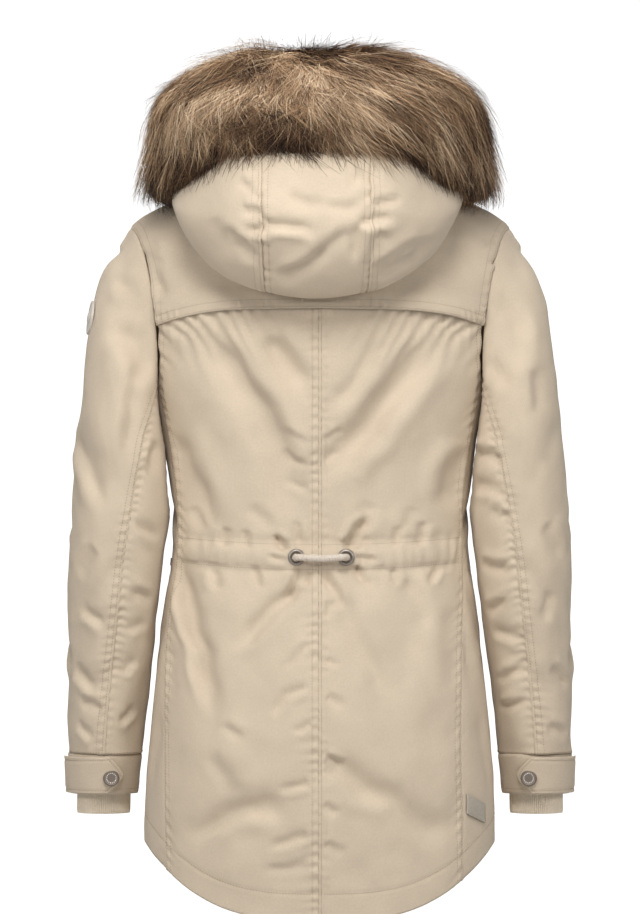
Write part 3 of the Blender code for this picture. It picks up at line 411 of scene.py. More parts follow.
# ---------------------------------------------------------------- sleeves, hood and fur roll
def sleeve_point(angle, v, relief=True):
    """Left sleeve: v = 0 at the armhole, v = 1 at the cuff seam."""
    start = armhole(angle)
    turn = np.radians(angle)
    z = mix(start[..., 2], CUFF_TOP, v)
    x = curve(SLEEVE, z, 1) + curve(SLEEVE, z, 3) * np.cos(turn)
    y = curve(SLEEVE, z, 2) + curve(SLEEVE, z, 4) * np.sin(turn)
    blend = 1 - (1 - np.clip((start[..., 2] - z) / SLEEVE_EASE, 0.0, 1.0)) ** 2.5
    x = mix(start[..., 0] + SLEEVE_START, x, blend)
    y = mix(start[..., 1], y, blend)
    if relief:
        rows = [(math.radians(a0) * SLEEVE_SCALE, z0, math.radians(a1) * SLEEVE_SCALE, z1, width, depth)
                for a0, z0, a1, z1, width, depth in SLEEVE_FOLDS]
        fold = fold_height(turn * SLEEVE_SCALE, z, rows) * blend
        x = x + fold * np.cos(turn)
        y = y + fold * np.sin(turn)
    clear = SLEEVE_START + (SLEEVE_CLEAR - SLEEVE_START) * smooth(0.0, 0.05, v)
    x = np.where(z > -0.50, np.maximum(x, body_x(y, z) + clear), x)
    return points(x, y, z)


def cuff_point(angle, v, proud=0.0):
    """Cuff band: v = 0 at the cuff seam, v = 1 at its lower edge."""
    z = mix(CUFF_TOP - SEAM, CUFF_BOTTOM, v)
    turn = np.radians(angle)
    x = curve(SLEEVE, z, 1) + (curve(SLEEVE, z, 3) + CUFF_PROUD + proud) * np.cos(turn)
    y = curve(SLEEVE, z, 2) + (curve(SLEEVE, z, 4) + CUFF_PROUD + proud) * np.sin(turn)
    return points(x, y, z)


def even_rows(rows, column):
    """A table's column from the back round, carried on evenly or oddly past the middle line."""
    sign = -1 if column == 1 else 1
    return [(-rows[1][0], sign * rows[1][column])] + [(row[0], row[column]) for row in rows]


def fur_frame(angle):
    """Centre, outward direction, half sizes, tilt and sewing angle of the roll at each angle."""
    angle = np.asarray(angle, float)
    side, size = np.where(angle >= 0, 1.0, -1.0), np.abs(angle)
    x, y, z, length, thick, tilt, sewing = (curve(even_rows(FUR, column), size) for column in range(1, 8))
    step = 1.0
    ahead = [curve(even_rows(FUR, column), size + step) for column in (1, 2)]
    behind = [curve(even_rows(FUR, column), size - step) for column in (1, 2)]
    along_x, along_y = ahead[0] - behind[0], ahead[1] - behind[1]
    reach = np.hypot(along_x, along_y)
    centre = points(side * x + HOOD_SHIFT * smooth(120, 60, size), y, z)
    outward = points(-side * along_y / reach, along_x / reach, 0 * reach)
    return centre, outward, length, thick, np.radians(tilt), sewing


def fur_point(angle, turn, scale=1.0, grow=0.0):
    """Point of the roll; turn is measured from outwards, up being 90, and scale from the middle."""
    centre, outward, length, thick, tilt, _ = fur_frame(angle)
    across = (length + grow) * np.cos(np.radians(turn)) * scale
    up = (thick + grow) * np.sin(np.radians(turn)) * scale
    out = across * np.cos(tilt) + up * np.sin(tilt)
    rise = up * np.cos(tilt) - across * np.sin(tilt)
    return centre + outward * np.asarray(out)[..., None] + points(0 * rise, 0 * rise, rise)


def fur_gap(angle):
    return mix(FUR_GAP, WALL + 2 * FUR_GAP, smooth(55, 85, abs(angle)))


def clear_of_fur(place, angle):
    centre, outward, length, thick, tilt, _ = fur_frame(angle)
    gap = fur_gap(angle)
    offset = place - centre
    out = offset[..., 0] * outward[0] + offset[..., 1] * outward[1]
    across = out * np.cos(tilt) - offset[..., 2] * np.sin(tilt)
    up = out * np.sin(tilt) + offset[..., 2] * np.cos(tilt)
    share = np.minimum(np.hypot(across / (length + gap), up / (thick + gap)), 1.0)
    across, up = across / share, up / share
    moved = across * np.cos(tilt) + up * np.sin(tilt) - out
    lifted = up * np.cos(tilt) - across * np.sin(tilt) - offset[..., 2]
    return place + outward * moved[..., None] + points(0 * lifted, 0 * lifted, lifted)


def neck_seam(angle):
    turn = math.radians(angle)
    reach = NECK_BACK if abs(angle) < 90 else NECK_FRONT
    x = (NECK_HALF_WIDTH + 0.002) * math.sin(turn)
    y = (reach + 0.002) * math.cos(turn)
    return points(x, y, body_z(x, y) + HOOD_START)


def hood_column(angle, v):
    """Hood surface along one angle: v = 0 at the neck seam, v = 1 at the fur."""
    side, size = (1 if angle >= 0 else -1), abs(angle)
    shift = HOOD_SHIFT * float(smooth(120, 60, size))
    guides = [neck_seam(angle)]
    for place in (1, 2, 3):
        rows = [(row[0], *row[place]) for row in HOOD]
        x, y, z = (float(curve(even_rows(rows, column), size)) for column in (1, 2, 3))
        guides.append(np.array([side * x + shift, y, z]))
    guides.append(fur_point(angle, float(fur_frame(angle)[5]), grow=fur_gap(angle)))
    lengths = np.concatenate([[0.0], np.cumsum([np.linalg.norm(b - a) for a, b in zip(guides, guides[1:])])])
    rows = [(length / lengths[-1], *guide) for length, guide in zip(lengths, guides)]
    x, y, z = (curve(rows, v, column) for column in (1, 2, 3))
    lift = HOOD_START + (HOOD_LIFT - HOOD_START) * smooth(0.0, 0.15, v)
    over = body_y(x, z) + lift + YOKE_PROUD * smooth(-0.06, -0.10, z)
    y = np.where(y > 0.03, np.maximum(y, over), y)
    place = clear_of_fur(points(x, y, z), angle)
    low = body_z(place[..., 0], np.clip(place[..., 1], -0.09, 0.09)) + lift
    place[..., 2] = np.where(np.abs(place[..., 1]) < 0.09, np.maximum(place[..., 2], low), place[..., 2])
    return place


# ---------------------------------------------------------------- making cloth pieces
def spread(count, edge=0.0, dense=0):
    """Grid lines from 0 to 1, with some extra ones within a small share of both ends."""
    plain = np.linspace(edge, 1 - edge, count)
    if not dense:
        return plain
    near = np.linspace(0, edge, dense, endpoint=False)
    return np.concatenate([near, plain, 1 - near[::-1]])


def grid_normals(place):
    du = np.gradient(place, axis=1)
    dv = np.gradient(place, axis=0)
    return unit(np.cross(du, dv))


def distances(place):
    """Length of cloth along each row and up each column, from the grid's first line."""
    across = np.linalg.norm(np.diff(place, axis=1), axis=-1)
    up = np.linalg.norm(np.diff(place, axis=0), axis=-1)
    zero_row, zero_column = np.zeros((place.shape[0], 1)), np.zeros((1, place.shape[1]))
    return (np.concatenate([zero_row, np.cumsum(across, axis=1)], axis=1),
            np.concatenate([zero_column, np.cumsum(up, axis=0)], axis=0))


def rounded_shoulder(place):
    """The corner where the shoulder turns down into the sleeve, eased as worn cloth is."""
    x, z = place[..., 0], place[..., 2]
    near = np.hypot(np.abs(x) - SHOULDER_CORNER[0], z - SHOULDER_CORNER[1])
    ease = SHOULDER_EASE * bell(near / 0.021)
    return place - points(0.80 * np.sign(x) * ease, 0.0, 0.60 * ease)


class Panel:
    """A cloth grid: its places, outward normals and lengths of cloth along both ways."""

    def __init__(self, place, away):
        self.place = rounded_shoulder(place)
        self.normal = grid_normals(self.place)
        self.flip = float(np.sum(self.normal * away)) < 0
        if self.flip:
            self.normal = -self.normal
        self.across, self.up = distances(place)
        sides = np.cross(place[1:, 1:] - place[:-1, :-1], place[:-1, 1:] - place[1:, :-1])
        self.flat = (float(self.across.max()), float(self.up.max()))
        self.area = min(float(np.linalg.norm(sides, axis=-1).sum() / 2), self.flat[0] * self.flat[1])

    def edge(self, name):
        """Distance of every point from one edge of the panel."""
        if name == "start":
            return self.across
        if name == "end":
            return self.across[:, -1:] - self.across
        if name == "bottom":
            return self.up
        return self.up[-1:, :] - self.up

    def along(self, name):
        return self.up if name in ("start", "end") else self.across

    def raise_by(self, height):
        self.place = self.place + self.normal * height[..., None]

    def seam(self, name, roll=0.0005, groove=0.0007, row=TWIN_ROW, pitch=0.0108, reach=0.013, depth=0.0022,
             seed=1, slant=0.15):
        """Finish of a stitched edge: rolled edge, a groove under the stitches and small puckers."""
        away, along = self.edge(name), self.along(name)
        height = -roll * bell(away / 0.0020)
        if row:
            height = height + 0.8 * groove * (1 - smooth(row, row + 0.0025, away))
            height = height - groove * (bell((away - row) / 0.0014) + 0.7 * bell((away - 0.0016) / 0.0010))
        if depth:
            wander = along + slant * away + 0.35 * pitch * cloud(along, 0.4 * away, 2.6 * pitch, seed)
            wave = (0.5 + 0.5 * np.cos(2 * math.pi * wander / pitch)) ** 1.4
            strength = np.clip(0.72 + 0.5 * cloud(along, 0 * away, 3.1 * pitch, seed + 1), 0.2, 1.2)
            length = reach * (1 + 0.5 * cloud(along, 0 * away, 1.7 * pitch, seed + 2))
            inside = (1 - smooth(TWIN_ROW - 0.001, TWIN_ROW + 0.002, away))
            beyond = bell(np.maximum(away - TWIN_ROW, 0) / length) * np.clip(strength - 0.35, 0, 1)
            fade = (inside + 0.6 * (1 - inside) * beyond) * smooth(0, 0.0025, away)
            height = height - depth * wave * strength * fade
        return height

    def line(self, name, distance, trim=0.0):
        """The polyline that runs a given distance inside one edge, with its normals."""
        away = self.edge(name)
        place, normal = self.place, self.normal
        if name in ("bottom", "top"):
            away, place, normal = away.T, place.transpose(1, 0, 2), normal.transpose(1, 0, 2)
        if name in ("end", "top"):
            away, place, normal = away[:, ::-1], place[:, ::-1], normal[:, ::-1]
        columns = np.arange(away.shape[1])
        track, facing = [], []
        for j in range(away.shape[0]):
            at = np.interp(distance, away[j], columns)
            k = min(int(at), len(columns) - 2)
            track.append(mix(place[j, k], place[j, k + 1], at - k))
            facing.append(mix(normal[j, k], normal[j, k + 1], at - k))
        track, facing = np.array(track), unit(np.array(facing))
        return cut_line(track, facing, trim)


def cut_line(track, facing, trim):
    if not trim:
        return track, facing
    lengths = np.concatenate([[0.0], np.cumsum(np.linalg.norm(np.diff(track, axis=0), axis=1))])
    keep = (lengths >= trim) & (lengths <= lengths[-1] - trim)
    return track[keep], facing[keep]


def crease_relief(x, z, rows):
    """Listed creases: points of the line, half width, depth, lean towards the steeper side."""
    x, z = np.broadcast_arrays(np.asarray(x, float), np.asarray(z, float))
    total = np.zeros(x.shape)
    for number, (track, width, depth, lean) in enumerate(rows):
        spots = np.array(track)
        runs = np.diff(spots, axis=0)
        lengths = np.hypot(runs[:, 0], runs[:, 1])
        whole = lengths.sum()
        near = np.abs(x - spots[:, 0].mean()) + np.abs(z - spots[:, 1].mean()) < 0.75 * whole + 5 * width
        px, pz = x[near], z[near]
        nearest, across, along = np.full(px.shape, 9.0), np.zeros(px.shape), np.zeros(px.shape)
        for k, (dx, dz) in enumerate(runs):
            t = np.clip(((px - spots[k, 0]) * dx + (pz - spots[k, 1]) * dz) / lengths[k] ** 2, 0.0, 1.0)
            ox, oz = px - spots[k, 0] - t * dx, pz - spots[k, 1] - t * dz
            away = np.hypot(ox, oz)
            closer = away < nearest
            nearest = np.where(closer, away, nearest)
            across = np.where(closer, away * np.sign(ox * dz - oz * dx), across)
            along = np.where(closer, (lengths[:k].sum() + t * lengths[k]) / whole, along)
        across = across + 0.30 * width * cloud(px, pz, 2.5 * width, 90 + number)
        steep = width * (1 - 0.5 * abs(lean))
        gentle = width * (1 + 0.5 * abs(lean))
        toward = across * math.copysign(1, lean)
        side = np.where(toward > 0, steep, gentle)
        fade = smooth(0.0, 0.22, along) * (1 - smooth(0.68, 1.0, along))
        ridge = (0.25 + 0.55 * abs(lean)) * bell((toward - 2.0 * steep) / (1.1 * steep))
        total[near] += depth * fade * (bell(across / side) - ridge)
    return total


def soft_waves(x, z, seed, height=0.0007, size=0.045):
    """Broad unevenness of padded cloth that has been worn."""
    return height * (cloud(x, z, size, seed) + 0.5 * cloud(x, z, size * 0.45, seed + 1))


def tucked(panel, edges, run, drop):
    """The panel's grids with a narrow allowance that dips under the neighbour at each named edge."""
    place, normal, lengths = panel.place, panel.normal, np.stack([panel.across, panel.up], axis=-1)
    for edge in edges:
        axis = 1 if edge in ("start", "end") else 0
        first, second = (0, 1) if edge in ("start", "bottom") else (-1, -2)
        last, before = np.take(place, [first], axis), np.take(place, [second], axis)
        facing, length = np.take(normal, [first], axis), np.take(lengths, [first], axis)
        beyond = last + unit(last - before) * run - facing * drop
        step = np.array([run, 0.0]) if axis == 1 else np.array([0.0, run])
        stepped = length + (step if first else -step)
        order = slice(None, None, 1 if first == 0 else -1)
        place = np.concatenate([beyond, place][order], axis)
        normal = np.concatenate([facing, normal][order], axis)
        lengths = np.concatenate([stepped, lengths][order], axis)
    return place, lengths[..., 0], lengths[..., 1]


def cloth_object(name, panel, material, shell=SHELL, closed=False, tucks=(), run=0.0018, drop=0.0011):
    """A grid object over the panel's points, with lengths of cloth as its UV map."""
    place, across, up = tucked(panel, tucks, run, drop)
    rows, columns = place.shape[:2]
    bm = bmesh.new()
    bmesh.ops.create_grid(bm, x_segments=columns - 1, y_segments=rows - 1, size=0.5)
    bm.verts.ensure_lookup_table()
    where = np.array([(round((v.co.y + 0.5) * (rows - 1)), round((v.co.x + 0.5) * (columns - 1))) for v in bm.verts])
    if panel.flip:
        bmesh.ops.reverse_faces(bm, faces=bm.faces[:])
    mesh = bpy.data.meshes.new(name)
    bm.to_mesh(mesh)
    bm.free()
    mesh.vertices.foreach_set("co", place[where[:, 0], where[:, 1]].astype(np.float32).ravel())
    corners = np.empty(len(mesh.loops), np.int32)
    mesh.loops.foreach_get("vertex_index", corners)
    lengths = np.stack([across[where[:, 0], where[:, 1]], up[where[:, 0], where[:, 1]]], axis=1)
    uv = mesh.uv_layers.new(name="cloth")
    uv.data.foreach_set("uv", lengths[corners].astype(np.float32).ravel())
    if closed:
        joined = bmesh.new()
        joined.from_mesh(mesh)
        bmesh.ops.remove_doubles(joined, verts=joined.verts[:], dist=1e-5)
        joined.to_mesh(mesh)
        joined.free()
    mesh.update()
    mesh.shade_smooth()
    obj = bpy.data.objects.new(name, mesh)
    bpy.context.scene.collection.objects.link(obj)
    mesh.materials.append(material)
    if shell:
        thick = obj.modifiers.new("shell", "SOLIDIFY")
        thick.thickness = shell
        thick.offset = -1.0
    return obj


def dress(obj, slot, *nodes):
    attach(obj, "root")
    if nodes:
        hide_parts(*nodes)
    return obj


def joined_shapes(name, corners, faces, normals=None):
    """One mesh of many like shapes: corners is (shapes, corners, 3), faces index one shape."""
    count, size = corners.shape[:2]
    faces = [np.asarray(face) for face in faces]
    starts = np.arange(count) * size
    loops = np.concatenate([(starts[:, None] + face[None, :]).reshape(count, -1) for face in faces], axis=1)
    totals = np.tile([len(face) for face in faces], count)
    mesh = bpy.data.meshes.new(name)
    mesh.vertices.add(count * size)
    mesh.vertices.foreach_set("co", corners.astype(np.float32).ravel())
    mesh.loops.add(loops.size)
    mesh.loops.foreach_set("vertex_index", loops.astype(np.int32).ravel())
    mesh.polygons.add(len(totals))
    mesh.polygons.foreach_set("loop_start", np.concatenate([[0], np.cumsum(totals)[:-1]]).astype(np.int32))
    mesh.update(calc_edges=True)
    mesh.shade_smooth()
    obj = bpy.data.objects.new(name, mesh)
    bpy.context.scene.collection.objects.link(obj)
    return obj


def stitches(name, lines, material, slot, pitch=STITCH_PITCH, length=STITCH_LENGTH, width=STITCH_WIDTH):
    """Rows of sewn stitches: each is a low lens of thread lying along the line."""
    shapes = []
    for track, facing in lines:
        if len(track) < 2:
            continue
        lengths = np.concatenate([[0.0], np.cumsum(np.linalg.norm(np.diff(track, axis=0), axis=1))])
        places = np.arange(pitch / 2, lengths[-1], pitch)
        if not len(places):
            continue
        middle = np.stack([np.interp(places, lengths, track[:, k]) for k in range(3)], axis=1)
        ahead = np.stack([np.interp(places + pitch / 4, lengths, track[:, k]) for k in range(3)], axis=1)
        back = np.stack([np.interp(places - pitch / 4, lengths, track[:, k]) for k in range(3)], axis=1)
        out = unit(np.stack([np.interp(places, lengths, facing[:, k]) for k in range(3)], axis=1))
        along = unit(ahead - back)
        side = np.cross(out, along)
        rise = width * 0.7
        shapes.append(np.stack([middle - along * length / 2, middle + along * length / 2,
                                middle - side * width / 2 + out * rise * 0.4, middle + side * width / 2 + out * rise * 0.4,
                                middle + out * rise, middle - out * rise * 0.5], axis=1))
    corners = np.concatenate(shapes)
    faces = [(0, 2, 4), (2, 1, 4), (1, 3, 4), (3, 0, 4), (2, 0, 5), (1, 2, 5), (3, 1, 5), (0, 3, 5)]
    obj = joined_shapes(name, corners, faces)
    obj.data.materials.append(material)
    return dress(obj, slot)


# ---------------------------------------------------------------- materials
def rgb(red, green, blue):
    """Linear colour of a display colour given from 0 to 255."""
    parts = [value / 255 for value in (red, green, blue)]
    return [value / 12.92 if value <= 0.04045 else ((value + 0.055) / 1.055) ** 2.4 for value in parts]


def new_material(name):
    found = bpy.data.materials.get(name)
    if found:
        return found, None, None, None
    made = bpy.data.materials.new(name)
    made.use_nodes = True
    tree = made.node_tree
    return made, tree.nodes, tree.links, tree.nodes["Principled BSDF"]


def group_tree(name, inputs, outputs):
    tree = bpy.data.node_groups.new(name, "ShaderNodeTree")
    for label, kind, value in inputs:
        socket = tree.interface.new_socket(label, in_out="INPUT", socket_type=kind)
        if value is not None:
            socket.default_value = value
    for label, kind in outputs:
        tree.interface.new_socket(label, in_out="OUTPUT", socket_type=kind)
    return tree, tree.nodes.new("NodeGroupInput"), tree.nodes.new("NodeGroupOutput")


def math_node(tree, operation, first, second=None):
    node = tree.nodes.new("ShaderNodeMath")
    node.operation = operation
    for index, value in enumerate((first, second)):
        if value is None:
            continue
        if isinstance(value, (int, float)):
            node.inputs[index].default_value = value
        else:
            tree.links.new(value, node.inputs[index])
    return node.outputs[0]


def twill_group():
    """Diagonal twill threads with slubs: puts out a thread height and a colour mask."""
    found = bpy.data.node_groups.get("twill threads")
    if found:
        return found
    inputs = [("Cloth", "NodeSocketVector", None), ("Threads per metre", "NodeSocketFloat", 1500.0),
              ("Slubs", "NodeSocketFloat", 0.5)]
    tree, start, end = group_tree("twill threads", inputs,
                                  [("Height", "NodeSocketFloat"), ("Shade", "NodeSocketFloat")])
    links = tree.links
    split = tree.nodes.new("ShaderNodeSeparateXYZ")
    links.new(start.outputs["Cloth"], split.inputs[0])
    diagonal = math_node(tree, "ADD", split.outputs[0], math_node(tree, "MULTIPLY", split.outputs[1], 0.6))
    turns = math_node(tree, "MULTIPLY", diagonal, start.outputs["Threads per metre"])
    ribs = math_node(tree, "SINE", math_node(tree, "MULTIPLY", turns, 2 * math.pi))
    weft = math_node(tree, "SINE", math_node(tree, "MULTIPLY", math_node(
        tree, "MULTIPLY", split.outputs[1], start.outputs["Threads per metre"]), 4 * math.pi))
    weave = math_node(tree, "ADD", ribs, math_node(tree, "MULTIPLY", weft, 0.35))
    noise = tree.nodes.new("ShaderNodeTexNoise")
    noise.inputs["Scale"].default_value = 420.0
    noise.inputs["Detail"].default_value = 3.0
    links.new(start.outputs["Cloth"], noise.inputs["Vector"])
    slubs = math_node(tree, "MULTIPLY", math_node(tree, "SUBTRACT", noise.outputs["Fac"], 0.5),
                      start.outputs["Slubs"])
    links.new(math_node(tree, "ADD", math_node(tree, "MULTIPLY", weave, 0.3),
                        math_node(tree, "MULTIPLY", slubs, 2.0)), end.inputs["Height"])
    broad = tree.nodes.new("ShaderNodeTexNoise")
    broad.inputs["Scale"].default_value = 26.0
    broad.inputs["Detail"].default_value = 5.0
    links.new(start.outputs["Cloth"], broad.inputs["Vector"])
    shade = math_node(tree, "ADD", math_node(tree, "MULTIPLY", broad.outputs["Fac"], 0.55),
                      math_node(tree, "MULTIPLY", noise.outputs["Fac"], 0.45))
    links.new(shade, end.inputs["Shade"])
    return tree


def cloth_material(name, light, dark, threads=1500.0, bump=0.0003, sheen=0.12):
    made, nodes, links, shader = new_material(name)
    if nodes is None:
        return made
    where = nodes.new("ShaderNodeUVMap")
    where.uv_map = "cloth"
    weave = nodes.new("ShaderNodeGroup")
    weave.node_tree = twill_group()
    weave.inputs["Threads per metre"].default_value = threads
    links.new(where.outputs["UV"], weave.inputs["Cloth"])
    ramp = nodes.new("ShaderNodeValToRGB")
    ramp.color_ramp.elements[0].position = 0.30
    ramp.color_ramp.elements[0].color = (*dark, 1)
    ramp.color_ramp.elements[1].position = 0.66
    ramp.color_ramp.elements[1].color = (*light, 1)
    links.new(weave.outputs["Shade"], ramp.inputs[0])
    links.new(ramp.outputs[0], shader.inputs["Base Color"])
    rough = nodes.new("ShaderNodeMapRange")
    rough.inputs["To Min"].default_value = 0.80
    rough.inputs["To Max"].default_value = 0.93
    links.new(weave.outputs["Shade"], rough.inputs["Value"])
    links.new(rough.outputs[0], shader.inputs["Roughness"])
    raised = nodes.new("ShaderNodeBump")
    raised.inputs["Strength"].default_value = 0.6
    raised.inputs["Distance"].default_value = bump
    links.new(weave.outputs["Height"], raised.inputs["Height"])
    links.new(raised.outputs[0], shader.inputs["Normal"])
    shader.inputs["Sheen Weight"].default_value = sheen
    shader.inputs["Sheen Roughness"].default_value = 0.45
    shader.inputs["Specular IOR Level"].default_value = 0.25
    return made


def plain_material(name, colour, roughness, metallic=0.0, sheen=0.0, grain=0.0, scale=900.0):
    """A finish with a fine grain read from the piece's own place."""
    made, nodes, links, shader = new_material(name)
    if nodes is None:
        return made
    where = nodes.new("ShaderNodeTexCoord")
    noise = nodes.new("ShaderNodeTexNoise")
    noise.inputs["Scale"].default_value = scale
    noise.inputs["Detail"].default_value = 4.0
    links.new(where.outputs["Object"], noise.inputs["Vector"])
    ramp = nodes.new("ShaderNodeValToRGB")
    ramp.color_ramp.elements[0].position = 0.25
    ramp.color_ramp.elements[0].color = (*[0.72 * value for value in colour], 1)
    ramp.color_ramp.elements[1].position = 0.75
    ramp.color_ramp.elements[1].color = (*[min(1.0, 1.12 * value) for value in colour], 1)
    links.new(noise.outputs["Fac"], ramp.inputs[0])
    links.new(ramp.outputs[0], shader.inputs["Base Color"])
    rough = nodes.new("ShaderNodeMapRange")
    rough.inputs["To Min"].default_value = max(roughness - 0.12, 0.05)
    rough.inputs["To Max"].default_value = min(roughness + 0.10, 1.0)
    links.new(noise.outputs["Fac"], rough.inputs["Value"])
    links.new(rough.outputs[0], shader.inputs["Roughness"])
    shader.inputs["Metallic"].default_value = metallic
    shader.inputs["Sheen Weight"].default_value = sheen
    if grain:
        raised = nodes.new("ShaderNodeBump")
        raised.inputs["Distance"].default_value = grain
        raised.inputs["Strength"].default_value = 0.5
        links.new(noise.outputs["Fac"], raised.inputs["Height"])
        links.new(raised.outputs[0], shader.inputs["Normal"])
    return made


def fur_material():
    """Hair coloured by the colour that each strand carries along its length."""
    made, nodes, links, shader = new_material("artificial fur")
    if nodes is None:
        return made
    colour = nodes.new("ShaderNodeVertexColor")
    colour.layer_name = "hair"
    links.new(colour.outputs["Color"], shader.inputs["Base Color"])
    shader.inputs["Roughness"].default_value = 0.65
    shader.inputs["Specular IOR Level"].default_value = 0.15
    return made


def twill():
    colours = bpy.context.scene.parka_colours
    return cloth_material("cream twill", list(colours.cloth), [0.86 * value for value in colours.cloth])


def thread():
    colours = bpy.context.scene.parka_colours
    return plain_material("sewing thread", list(colours.thread), 0.75, sheen=0.2)


def metal():
    return plain_material("brushed gunmetal", rgb(132, 120, 110), 0.50, metallic=0.45, grain=0.00006, scale=1500.0)


# ---------------------------------------------------------------- body pieces
def back_place(side, u, v):
    x = 0.17 * u
    for _ in range(5):
        z = mix(back_hem(x), yoke_seam(x) + YOKE_LAP, v)
        x = mix(SEAM / 2, edge_x(z, side, False) - HALF_SEAM, u)
    edge = edge_x(z, side, False) - HALF_SEAM
    return points(side * x, body_y(x, z) + back_relief(side * x, z, edge), z)


